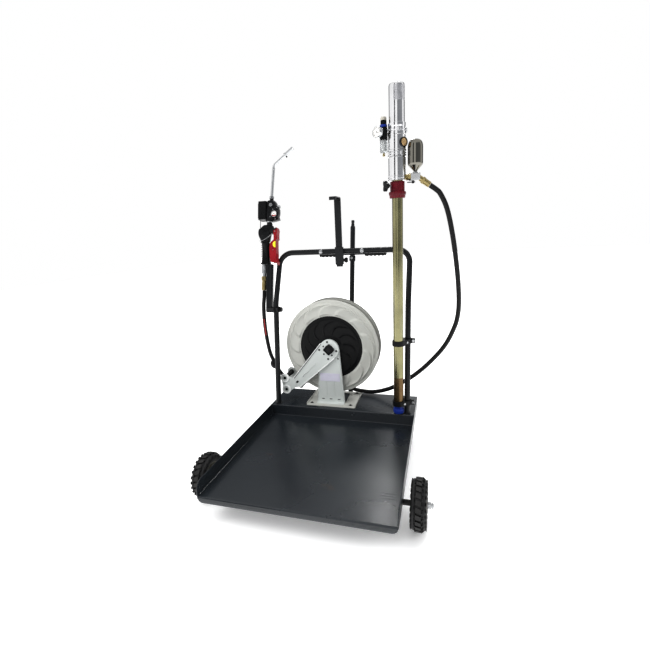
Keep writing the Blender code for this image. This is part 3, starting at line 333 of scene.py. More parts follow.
class Kit:
    """Collects shapes with their materials, and makes one piece of them."""

    def __init__(self):
        self.verts, self.faces, self.slots, self.looks = [], [], [], []

    def add(self, verts, faces, look, place=Matrix.Identity(4)):
        if look not in self.looks:
            self.looks.append(look)
        base, index = len(self.verts), self.looks.index(look)
        self.verts += [place @ Vector(v) for v in verts]
        self.faces += [[base + i for i in f] for f in faces]
        self.slots += [index] * len(faces)

    def lathe(self, look, profile, origin=(0, 0, 0), along=Z, seg=48, across=None):
        rings, verts, faces = [], [], []
        solid = profile[0][0] == 0 and profile[-1][0] == 0
        for radius, height in profile:
            if radius == 0:
                rings.append([len(verts)] * seg)
                verts.append((0, 0, height))
                continue
            rings.append(list(range(len(verts), len(verts) + seg)))
            verts += [(radius * math.cos(TAU * k / seg), radius * math.sin(TAU * k / seg), height)
                      for k in range(seg)]
        for low, high in list(zip(rings, rings[1:])) + ([] if solid else [(rings[-1], rings[0])]):
            for k in range(seg):
                m = (k + 1) % seg
                loop = [low[k], low[m], high[m], high[k]]
                loop = [i for n, i in enumerate(loop) if i not in loop[:n]]
                if len(loop) > 2:
                    faces.append(loop)
        self.add(verts, faces, look, frame_of(origin, along, across))

    def rod(self, look, radius, start, end, seg=32, edge=0.0):
        start, end = Vector(start), Vector(end)
        span, e = (end - start).length, edge
        profile = [(0, 0), (radius - e, 0), (radius, e), (radius, span - e), (radius - e, span),
                   (0, span)]
        if not e:
            profile = [(0, 0), (radius, 0), (radius, span), (0, span)]
        self.lathe(look, profile, start, end - start, seg)

    def prism(self, look, outline, low, high, origin=(0, 0, 0), along=Z, across=None):
        n = len(outline)
        verts = [(u, v, low) for u, v in outline] + [(u, v, high) for u, v in outline]
        sides = [[k, (k + 1) % n, n + (k + 1) % n, n + k] for k in range(n)]
        self.add(verts, sides + [list(range(n))[::-1], list(range(n, 2 * n))], look,
                 frame_of(origin, along, across))

    def box(self, look, low, high):
        (x0, y0, z0), (x1, y1, z1) = low, high
        self.prism(look, [(x0, y0), (x1, y0), (x1, y1), (x0, y1)], z0, z1)

    def tube(self, look, path, radius, seg=24, scale=None):
        path = [Vector(p) for p in path]
        n, verts, faces = len(path), [], []
        ways = [(path[min(k + 1, n - 1)] - path[max(k - 1, 0)]).normalized() for k in range(n)]
        side = ways[0].orthogonal().normalized()
        for k, (point, way) in enumerate(zip(path, ways)):
            side = (side - way * side.dot(way)).normalized()
            up = way.cross(side)
            r = radius * (scale[k] if scale else 1)
            verts += [point + (side * math.cos(TAU * s / seg) + up * math.sin(TAU * s / seg)) * r
                      for s in range(seg)]
        for k in range(n - 1):
            for s in range(seg):
                m = (s + 1) % seg
                faces.append([k * seg + s, k * seg + m, (k + 1) * seg + m, (k + 1) * seg + s])
        faces += [list(range(seg))[::-1], list(range((n - 1) * seg, n * seg))]
        self.add(verts, faces, look)

    def hex_head(self, look, flats, start, end, washer=0.0, turn=0.0):
        start, end = Vector(start), Vector(end)
        way = (end - start).normalized()
        r = flats / math.sqrt(3)
        outline = [(r * math.cos(k * TAU / 6 + turn), r * math.sin(k * TAU / 6 + turn))
                   for k in range(6)]
        self.prism(look, outline, 0, (end - start).length, start, way)
        if washer:
            self.rod(look, washer, start - way * 0.0002, start + way * 0.0016, 28)

    def make(self, name, body="root", nodes=(), place=None, bevel=0.0, steps=2, angle=32):
        mesh = bpy.data.meshes.new(name)
        mesh.from_pydata([tuple(v) for v in self.verts], [], self.faces)
        if place:
            mesh.transform(place)
        work = bmesh.new()
        work.from_mesh(mesh)
        bmesh.ops.recalc_face_normals(work, faces=work.faces)
        work.to_mesh(mesh)
        work.free()
        for look in self.looks:
            mesh.materials.append(look)
        mesh.polygons.foreach_set("material_index", self.slots)
        mesh.polygons.foreach_set("use_smooth", [True] * len(mesh.polygons))
        mesh.set_sharp_from_angle(angle=math.radians(angle))
        obj = bpy.data.objects.new(name, mesh)
        bpy.context.scene.collection.objects.link(obj)
        if bevel:
            soft = obj.modifiers.new("bevel", "BEVEL")
            soft.width, soft.segments, soft.limit_method = bevel, steps, "ANGLE"
            soft.angle_limit = math.radians(40)
            soft.harden_normals = True
        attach(obj, body)
        if nodes:
            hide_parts(*((nodes,) if isinstance(nodes, str) else nodes))
        return obj


def mm(*points):
    """Points written in millimetres, as metres."""
    return [tuple(round(v / 1000, 7) for v in point) for point in points]


def mark(kit, face, angle, inner, outer, half, low, high, tip=None):
    """A flat radial bar on a dial. half and tip are its half widths at the root and the end."""
    d = Vector((math.cos(angle), math.sin(angle), 0))
    root, end = [Vector((-d.y, d.x, 0)) * w for w in (half, half if tip is None else tip)]
    bar = [d * inner - root, d * outer - end, d * outer + end, d * inner + root]
    kit.add([v + Z * low for v in bar] + [v + Z * high for v in bar], SLAB, FLAT_BLACK_AND_SHADE, face)


def paint_node(node, look):
    """Gives a CAD node that stays visible its finish."""
    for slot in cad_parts[node].material_slots:
        slot.material = look


def spokes(count, phase=0.0):
    """Unit vectors evenly round the Z axis."""
    return [Vector((math.cos(a), math.sin(a), 0))
            for a in [TAU * (k + phase) / count for k in range(count)]]


def spokes_x(count, phase=0.0):
    """Unit vectors evenly round the X axis."""
    return [Vector((0, *d.xy)) for d in spokes(count, phase)]


def round_box(half_u, half_v, radius, steps=4):
    points = []
    for k, (su, sv) in enumerate(((1, 1), (-1, 1), (-1, -1), (1, -1))):
        for s in range(steps + 1):
            a = math.pi / 2 * (k + s / steps)
            points.append((su * (half_u - radius) + radius * math.cos(a),
                           sv * (half_v - radius) + radius * math.sin(a)))
    return points


def fillet(points, radii, steps=8):
    points = [Vector(p) for p in points]
    out = [points[0]]
    for before, corner, after, radius in zip(points, points[1:], points[2:], radii):
        a, b = (before - corner).normalized(), (after - corner).normalized()
        half = a.angle(b) / 2
        centre = corner + (a + b).normalized() * radius / math.sin(half)
        reach = radius / math.tan(half)
        p, q = corner + a * reach - centre, corner + b * reach - centre
        turn = p.angle(q)
        for k in range(steps + 1):
            t = k / steps
            out.append(centre + (p * math.sin((1 - t) * turn) + q
                                 * math.sin(t * turn)) / math.sin(turn))
    return out + [points[-1]]


def arc(cu, cv, radius, a0, a1, steps):
    return [(cu + radius * math.cos(math.radians(a0 + (a1 - a0) * k / steps)),
             cv + radius * math.sin(math.radians(a0 + (a1 - a0) * k / steps)))
            for k in range(steps + 1)]


def leg_y(z):
    return LEG_Y + (KNEE_Y - LEG_Y) * (z - SHELF_Z) / (KNEE_Z - SHELF_Z)


# ---------------------------------------------------------------- cart
def tray():
    kit = Kit()
    low, f, t = FLOOR_Z - LIP_DROP, TRAY_FRONT, SHEET
    corners = [(0, f, low), (0, f, FLOOR_Z), (0, STEP_Y, FLOOR_Z), (0, STEP_Y, SHELF_Z),
               (0, SHELF_REAR, SHELF_Z), (0, SHELF_REAR, 0.125)]
    top = fillet(corners, [0.0065, 0.0025, 0.0055, 0.0055], 6)
    n = len(top)
    normals = []
    for k in range(n):
        way = (top[min(k + 1, n - 1)] - top[max(k - 1, 0)]).normalized()
        normals.append(Vector((0, way.z, -way.y)))
    under = [p + m * t for p, m in zip(top, normals)]
    section = top + under[::-1]
    columns = [-0.3395 + 0.0025 * k for k in range(9)] + [-0.3 + 0.06 * k for k in range(11)]
    columns += [0.3395 - 0.0025 * k for k in range(9)][::-1]
    verts, faces, m = [], [], len(section)
    for x in columns:
        reach = max(0.0, abs(x) - 0.3195)
        rise = 0.02 - math.sqrt(max(0.0, 0.02 ** 2 - reach ** 2))
        for k, p in enumerate(section):
            z = p.z + rise if k in (0, m - 1) else p.z
            verts.append((x, p.y, z))
    for c in range(len(columns) - 1):
        for k in range(m):
            j = (k + 1) % m
            faces.append([c * m + k, c * m + j, (c + 1) * m + j, (c + 1) * m + k])
    for c in (0, len(columns) - 1):
        for k in range(n - 1):
            faces.append([c * m + k, c * m + k + 1, c * m + m - 2 - k, c * m + m - 1 - k])
    kit.add(verts, faces, COAT)
    kit.make("tray_sheet", nodes="drum_tray", angle=25)
    lips = Kit()
    side = [(f + 0.0012, FLOOR_Z - t), (f + 0.0008, FLOOR_Z + 0.004)]
    side += [(f + 0.03 - 0.029 * math.cos(a),
              FLOOR_Z + 0.012 + (SHELF_Z - FLOOR_Z - 0.012) * math.sin(a))
             for a in [0.1 + 0.147 * k for k in range(11)]]
    side += [(SHELF_REAR - 0.002, SHELF_Z), (SHELF_REAR, SHELF_Z - 0.002),
             (SHELF_REAR, FLOOR_Z - t)]
    for s in (-1, 1):
        inner, outer = s * (TRAY_HALF - t), s * TRAY_HALF
        lips.prism(COAT, side, min(inner, outer), max(inner, outer), along=X, across=Y)
    lips.make("tray_side_lips", bevel=0.0011)
    seams = Kit()
    for s in (-1, 1):
        x = s * (TRAY_HALF - t - 0.0004)
        seams.tube(COAT, [(x, f + 0.012 + 0.02 * k, FLOOR_Z + 0.0003) for k in range(32)], 0.0016,
                   10)
        bead = [(x, STEP_Y - 0.0005, FLOOR_Z + 0.003 + 0.0016 * k) for k in range(29)]
        seams.tube(COAT, bead, 0.0022, 10, [1 + 0.22 * math.sin(k * 2.2) for k in range(29)])
    for k in range(3):
        y = -0.386 - 0.014 * k
        line = [(0.262 + 0.008 * j, y + 0.0012 * math.sin(j * 1.3 + k), FLOOR_Z - 0.0022)
                for j in range(8)]
        seams.tube(COAT, line, 0.003, 12, [0.86 + 0.14 * math.sin(math.pi * j / 7) + 0.03
                                           * math.sin(j * 3.1) for j in range(8)])
    seams.make("tray_weld_seams")


def tread(kit, centre, s):
    """Three staggered rows of chunky lugs round the tyre's crown."""
    count = 24
    rows = mm((-24.5, -10.5, 0), (-8.8, 8.8, 500), (10.5, 24.5, 0))
    for x0, x1, phase in rows:
        for k in range(count):
            a = TAU * (k + phase) / count
            half = TAU / count * 0.33
            skew = 0.35 * half * (1 if x0 < 0 else -1)
            ring = []
            for x, drift in ((x0, -skew), (x1, skew)):
                crown = WHEEL_R - 0.0002 - 3.2 * max(0, abs(x) - 0.009) ** 2 / 0.05 * 1.6
                for da in (-half, half):
                    for r in (WHEEL_R - 0.0115, crown):
                        b = a + da + drift
                        ring.append((x * s, r * math.cos(b), r * math.sin(b)))
            kit.add(ring, BRICK, TYRE, Matrix.Translation(centre))
    for e in (-1, 1):
        for k in range(count):
            a = TAU * (k + 0.5) / count
            half = TAU / count * 0.26
            ring = []
            for x, r0, r1 in ((e * 0.024, 0.068, 0.079), (e * 0.0257, 0.069, 0.0775)):
                for da in (-half, half):
                    for r in (r0, r1):
                        ring.append((x, r * math.cos(a + da), r * math.sin(a + da)))
            kit.add(ring, BRICK, TYRE, Matrix.Translation(centre))


def wheels():
    h = WHEEL_HALF
    casing = [(0.0522, -h + 0.006), (0.056, -h + 0.003), (0.062, -h + 0.001), (0.07, -h + 0.0012),
              (0.075, -h + 0.003), (0.0775, -h + 0.006), (0.0785, -0.012), (0.0792, 0),
              (0.0785, 0.012), (0.0775, h - 0.006), (0.075, h - 0.003), (0.07, h - 0.0012),
              (0.062, h - 0.001), (0.056, h - 0.003), (0.0522, h - 0.006)]
    for side, s in (("left", -1), ("right", 1)):
        hub, body = Vector((s * WHEEL_X, WHEEL_Y, WHEEL_R)), "front_wheel_" + side
        kit = Kit()
        kit.lathe(TYRE, casing, hub, X, 72)
        for x in (-0.0236, 0.0236):
            kit.lathe(TYRE, [(0.06, x - 0.0006), (0.0607, x - 0.0012 * (1 if x < 0 else -1)),
                             (0.0614, x + 0.0006)], hub, X, 72)
        tread(kit, hub, s)
        kit.make("tyre_" + side, body, "front_tyre_" + side, bevel=0.0009, steps=2)
        rim = Kit()
        shape = mm((17.5, -6), (40, -5), (44.5, -12), (49, -19), (52, -20.2), (52, -17.5),
                   (50, -10), (49.2, 0), (50, 10), (52, 17.5), (52, 20.2), (49, 19), (44.5, 12),
                   (40, 5), (17.5, 6))
        rim.lathe(RIM, shape, hub, X, 64)
        rim.lathe(RIM, mm((11, -24.5), (17, -24.5), (18.2, -23), (18.6, 0), (18.2, 23), (17, 24.5),
                          (11, 24.5)), hub, X, 40)
        rim.lathe(ZINC, mm((6.4, -24), (10.8, -24), (10.8, 24), (6.4, 24)), hub, X, 32)
        for out in spokes_x(5):
            cross = X.cross(out)
            for e in (-1, 1):
                verts = []
                for d, x0, x1 in ((0.0178, 0.005, 0.0185), (0.0465, 0.004, 0.012)):
                    for w in (-0.0022, 0.0022):
                        for x in (x0, x1):
                            verts.append(out * d + cross * w + X * (e * x))
                rim.add(verts, BRICK, RIM, Matrix.Translation(hub))
        rim.make("wheel_rim_" + side, body, "front_wheel_rim_" + side, bevel=0.0006)
    kit = Kit()
    c = (WHEEL_Y, WHEEL_R)
    kit.lathe(PAINT, mm((0, -364), (8.8, -364), (9.5, -363), (9.5, 363), (8.8, 364), (0, 364)),
              (0, *c), X, 32)
    for s in (-1, 1):
        kit.rod(ZINC, 0.006, (s * 0.364, *c), (s * 0.437, *c), 28, 0.0008)
        kit.rod(ZINC, 0.0125, (s * 0.4172, *c), (s * 0.4188, *c), 32, 0.0003)
        kit.hex_head(ZINC, 0.019, (s * 0.419, *c), (s * 0.429, *c), turn=0.3)
        kit.tube(ZINC, [(s * 0.4335, c[0], c[1] - 0.0115), (s * 0.4335, c[0], c[1] + 0.0085),
                        (s * 0.4345, c[0] + 0.002, c[1] + 0.0105)], 0.0013, 10)
        kit.box(COAT, (s * 0.27 - 0.025, c[0] - 0.0165, WHEEL_R + 0.003),
                (s * 0.27 + 0.025, c[0] + 0.0165, FLOOR_Z - SHEET))
    kit.make("axle_shaft", nodes="front_axle", bevel=0.0005)


def casters():
    for side in ("left", "right"):
        for node, look in (("caster_mount_", ZINC), ("caster_fork_", ZINC),
                           ("caster_wheel_", TYRE)):
            paint_node(node + side, look)
        s = -1 if side == "left" else 1
        kit = Kit()
        for dx in (-0.034, 0.034):
            for dy in (-0.034, 0.034):
                kit.hex_head(ZINC, 0.012, (s * 0.24 + dx, 0.215 + dy, 0.1298),
                             (s * 0.24 + dx, 0.215 + dy, 0.124), 0.008)
        kit.make("caster_bolts_" + side, bevel=0.0004)


def frame_tube():
    kit = Kit()
    foot = SHELF_Z
    corners = [(-LEG_X, LEG_Y, foot), (-LEG_X, KNEE_Y, KNEE_Z), (-LEG_X, BAR_Y, BAR_Z),
               (LEG_X, BAR_Y, BAR_Z), (LEG_X, KNEE_Y, KNEE_Z), (LEG_X, LEG_Y, foot)]
    path = fillet(corners, [0.11, 0.062, 0.062, 0.11], 12)
    kit.tube(PAINT, path, TUBE_R, 36)
    for s in (-1, 1):
        ring = [Vector((s * LEG_X, LEG_Y, foot + 0.0012))
                + Vector((math.cos(TAU * k / 28), math.sin(TAU * k / 28), 0)) * 0.0132
                for k in range(29)]
        kit.tube(PAINT, ring, 0.002, 8, [1 + 0.2 * math.sin(2.4 * k) for k in range(29)])
    kit.make("handle_tube", nodes="handle_frame", angle=40)
    bolts = Kit()
    for x in (-0.103, 0.093):
        start = (x, BAR_Y - TUBE_R + 0.0015, BAR_Z + 0.001)
        bolts.lathe(ZINC, mm((0, 0), (9.8, 0), (9.8, 1), (8.5, 3.4), (5.5, 5.6), (0, 6.4)), start,
                    -Y, 32)
        bolts.hex_head(ZINC, 0.012, (x, BAR_Y + TUBE_R - 0.0005, BAR_Z),
                       (x, BAR_Y + TUBE_R + 0.0055, BAR_Z), 0.009)
    bolts.make("bar_bolts")


def tube_clamps():
    for name, z in (("upper_tube_clamp", 0.4827), ("lower_tube_clamp", 0.2079)):
        kit = Kit()
        leg, pump, half = Vector((LEG_X, leg_y(z), z)), Vector((PUMP_X, PUMP_Y, z)), 0.011
        way = leg - pump
        spread = math.acos(0.0078 / way.length)
        outline = arc(0, 0, 0.0262, math.degrees(spread), 360 - math.degrees(spread), 28)
        outline += arc(way.length, 0, 0.0184, -math.degrees(spread), math.degrees(spread), 14)
        kit.prism(PLASTIC, outline, -half, half, pump, Z, way)
        kit.box(PLASTIC, (LEG_X + 0.01, leg.y - 0.0055, z - half + 0.001),
                (LEG_X + 0.031, leg.y + 0.0055, z + half - 0.001))
        kit.make(name + "_body", nodes=name, bevel=0.0012)
        bolt = Kit()
        side = leg + X * 0.024
        bolt.hex_head(ZINC, 0.009, side - Y * 0.005, side - Y * 0.0095, 0.0062)
        mid = pump + way * 0.52
        across = Z.cross(way).normalized()
        if across.y > 0:
            across = -across
        bolt.hex_head(ZINC, 0.008, mid + across * 0.0205, mid + across * 0.025, 0.0058)
        bolt.make(name + "_bolts", bevel=0.0003)


def drum_hook():
    x0, x1, y0, y1 = -0.0255, 0.0045, 0.2612, 0.2662
    kit = Kit()
    top = fillet([(0, y1, 0.8), (0, y1, 1.108), (0, 0.179, 1.108), (0, 0.179, 1.0935)],
                 [0.01, 0.005], 8)
    outline, back_side, n = [(p.y, p.z) for p in top], [], len(top)
    for k, p in enumerate(top):
        way = (top[min(k + 1, n - 1)] - top[max(k - 1, 0)]).normalized()
        back_side.append((p.y - way.z * 0.005, p.z + way.y * 0.005))
    outline += back_side[::-1]
    kit.prism(PAINT, outline, x0, x1, along=X, across=Y)
    kit.make("hook_strap", "drum_hook", "drum_hook_strap", bevel=0.0009)
    sleeve = Kit()
    back = BAR_Y - TUBE_R
    outer = [(x0 - 0.004, y0 - 0.004), (x1 + 0.004, y0 - 0.004), (x1 + 0.004, back),
             (x0 - 0.004, back)]
    inner = [(x0 - 0.0003, y0 - 0.0003), (x1 + 0.0003, y0 - 0.0003), (x1 + 0.0003, y1 + 0.0003),
             (x0 - 0.0003, y1 + 0.0003)]
    verts = [(u, v, z) for z in (0.81, 0.89) for ring in (outer, inner) for u, v in ring]
    quads = []
    for k in range(4):
        j = (k + 1) % 4
        quads += [[k, j, 8 + j, 8 + k], [4 + j, 4 + k, 12 + k, 12 + j], [j, k, 4 + k, 4 + j],
                  [8 + k, 8 + j, 12 + j, 12 + k]]
    sleeve.add(verts, quads, PAINT)
    sleeve.rod(PAINT, 0.0075, (x1 + 0.004, 0.2641, 0.83), (x1 + 0.01, 0.2641, 0.83), 28)
    sleeve.make("hook_sleeve", nodes="strap_sleeve", bevel=0.0007)
    knob = Kit()
    base = Vector((x1 + 0.0102, 0.2637, 0.83))
    knob.lathe(PLASTIC, mm((0, 0.2), (10, 0.5), (11, 3), (11, 12), (9.5, 13.8), (0, 14)), base, X,
               32)
    for out in spokes_x(8):
        out = out * 0.0105
        knob.rod(PLASTIC, 0.0018, base + out + X * 0.002, base + out + X * 0.0125, 10, 0.0004)
    knob.make("hook_knob", "strap_knob", "strap_clamp_knob", bevel=0.0004)


def gun_holder():
    place = Matrix.Translation((-0.3425, 0.2222, 0.822)) @ Matrix.Rotation(-LEAN, 4, "X")
    kit = Kit()
    kit.prism(PAINT, round_box(0.014, 0.014, 0.003, 3), -0.226, -0.0003)
    kit.verts = [place @ v for v in kit.verts]
    y = leg_y(0.612)
    kit.box(PAINT, (-0.35, y - 0.019, 0.601), (-0.2935, y + 0.019, 0.623))
    kit.make("holder_tube", nodes="gun_holder", bevel=0.0012)
    ring = Kit()
    ring.lathe(PLASTIC, mm((12.8, -12.2), (20, -12.2), (20.5, -10), (20.5, 10), (20, 12.2),
                           (12.8, 12.2)), (-LEG_X, y, 0.612), Vector((0, 0.12, 1)), 40)
    ring.make("holder_leg_band", bevel=0.0005)
    knob = Kit()
    start = Vector((-0.293, y, 0.612))
    knob.lathe(PLASTIC, mm((0, 2.2), (9, 2.4), (11, 5), (11.2, 12), (9, 14.8), (0, 15)), start, X,
               32)
    for out in spokes_x(6):
        out = out * 0.0098
        knob.rod(PLASTIC, 0.0022, start + out + X * 0.0035, start + out + X * 0.0138, 10, 0.0005)
    knob.rod(ZINC, 0.0033, start - X * 0.0018, start + X * 0.003, 16)
    knob.make("holder_knob_head", "holder_knob", "holder_clamp_knob", bevel=0.0004)


def tow_bar():
    kit = Kit()
    kit.lathe(PAINT, mm((0, 9), (12.2, 9), (12.2, 696.5), (15, 697), (16.5, 698.5), (16.5, 722.5),
                        (15, 724), (12.2, 724.5), (12.2, 870), (11.8, 872), (8.2, 879), (8, 881),
                        (8, 888), (6.6, 889), (6.6, 893), (8, 894), (8, 904), (7, 905.5), (0, 906)),
              (0, 0, 0), Z, 40)
    kit.rod(PAINT, 0.008, (-0.17, 0, 0.736), (0.17, 0, 0.736), 32)
    kit.lathe(PAINT, mm((6.6, -18), (12.8, -18), (13.5, -17), (13.5, 17), (12.8, 18), (6.6, 18)),
              (0, 0, 0), X, 32)
    kit.hex_head(ZINC, 0.01, (0, -0.016, 0.7105), (0, -0.0205, 0.7105), 0.0064)
    kit.make("tow_bar_tube", "tow_handle", "tow_bar", TOW, bevel=0.0005)
    for side, s in (("left", -1), ("right", 1)):
        grip, outline = Kit(), mm((8.2, 65.5), (14, 66), (14.8, 68))
        for k in range(41):
            x = 0.07 + 0.0025 * k
            outline.append((0.0147 + 0.0017 * math.sin((x - 0.07) / 0.02 * TAU - 0.6), x))
        outline += mm((15.8, 172.2), (14, 174), (8.2, 174.2))
        grip.lathe(GRIP, outline, (0, 0, 0.736), s * X, 40)
        grip.rod(GRIP, 0.008, (s * 0.1695, 0, 0.736), (s * 0.1738, 0, 0.736), 24, 0.0006)
        grip.make("tow_grip_sleeve_" + side, "tow_handle", "tow_grip_" + side, TOW, angle=50)
    inner = SHELF_REAR
    lug = Kit()
    lug.box(COAT, (-0.04, inner, 0.105), (0.04, inner + 0.006, 0.15))
    for x in (-0.022, 0.022):
        shape = [(inner + 0.004, 0.109), (inner + 0.004, 0.141)]
        shape += arc(TOW_Y, TOW_Z, 0.015, 90, -90, 10)
        lug.prism(COAT, shape, x - 0.003, x + 0.003, along=X, across=Y)
    lug.rod(ZINC, 0.006, (-0.029, TOW_Y, TOW_Z), (0.029, TOW_Y, TOW_Z), 24, 0.0006)
    for s in (-1, 1):
        lug.hex_head(ZINC, 0.012, (s * 0.0255, TOW_Y, TOW_Z), (s * 0.03, TOW_Y, TOW_Z), 0.009)
    lug.make("tow_bracket_plate", nodes="tow_bar_bracket", bevel=0.0007)


# ---------------------------------------------------------------- reel
def outline_with_holes(kit, look, outline, holes, low, high, origin=(0, 0, 0), along=Z,
                       across=None):
    """A flat plate with holes right through it."""
    loops = [[Vector((u, v, 0)) for u, v in ring] for ring in [outline] + holes]
    flat = [p for ring in loops for p in ring]
    caps = tessellate_polygon(loops)
    n = len(flat)
    faces = [list(t) for t in caps] + [[i + n for i in t][::-1] for t in caps]
    base = 0
    for ring in loops:
        m = len(ring)
        faces += [[base + k, base + (k + 1) % m, n + base + (k + 1) % m, n + base + k]
                  for k in range(m)]
        base += m
    verts = [(p.x, p.y, low) for p in flat] + [(p.x, p.y, high) for p in flat]
    kit.add(verts, faces, look, frame_of(origin, along, across))


def circle(cu, cv, r, n=20):
    return [(cu + r * math.cos(TAU * k / n), cv + r * math.sin(TAU * k / n)) for k in range(n)]


def slot_hole(cu, cv, half, r):
    return arc(cu + half, cv, r, -90, 90, 6) + arc(cu - half, cv, r, 90, 270, 6)


def swirl(angle, r, count, r0, r1, sharp):
    """Height, 0 to 1, of turbine-like pressed vanes that trail clockwise towards the rim."""
    t = min(1.0, max(0.0, (r - r0) / (r1 - r0)))
    lead = angle + (0.12 * t + 0.42 * t ** 5 if sharp else 0.1 * t + 0.62 * t ** 3)
    phase = (lead * count / TAU) % 1.0
    if sharp:
        tooth = phase / 0.86 if phase < 0.86 else (1 - phase) / 0.14
        edge = min(1.0, t / 0.16) * min(1.0, (1 - t) / 0.09)
    else:
        gap = abs(phase - 0.5) * TAU / count * r
        tooth = max(0.0, 1 - (gap / 0.0042) ** 2)
        edge = min(1.0, t / 0.12) * min(1.0, (1 - t) / 0.15)
    return tooth * edge * edge * (3 - 2 * edge)


def polar_sheet(kit, look, profile, relief, back, facing=-1, seg=312):
    """A pressed disc about the reel's axis: a (radius, y) profile and a height field."""
    n, verts, faces = len(profile), [], []
    for r, y in profile:
        for k in range(seg):
            a = TAU * k / seg
            verts.append((REEL_X + r * math.cos(a), y + facing * relief(a, r),
                          REEL_Z + r * math.sin(a)))
    for r, y in profile:
        for k in range(seg):
            a = TAU * k / seg
            verts.append((REEL_X + r * math.cos(a), y - facing * back, REEL_Z + r * math.sin(a)))
    for j in range(n - 1):
        for k in range(seg):
            m = (k + 1) % seg
            faces.append([j * seg + k, j * seg + m, (j + 1) * seg + m, (j + 1) * seg + k])
            base = n * seg
            faces.append([base + j * seg + k, base + (j + 1) * seg + k, base + (j + 1) * seg + m,
                          base + j * seg + m])
    for j in (0, n - 1):
        for k in range(seg):
            m = (k + 1) % seg
            faces.append([j * seg + k, j * seg + m, n * seg + j * seg + m, n * seg + j * seg + k])
    kit.add(verts, faces, look)


def disc_profile(y, out):
    """The pressed disc from its inner edge to its rolled rim; out is the way the vanes stand."""
    steps = mm((146.2, 0), (148, 2.4), (150, 3.6), (152, 4))
    steps += [(0.154 + 0.0019 * k, 0.004) for k in range(29)]
    steps += mm((209, 3.8), (210.2, 2.6), (211.2, 1), (212.2, 0.4), (215, 0.2), (218, 0),
                (221.5, 0), (224, -0.4), (225.6, -1.4), (226.3, -3))
    return [(r, y + out * h) for r, h in steps]


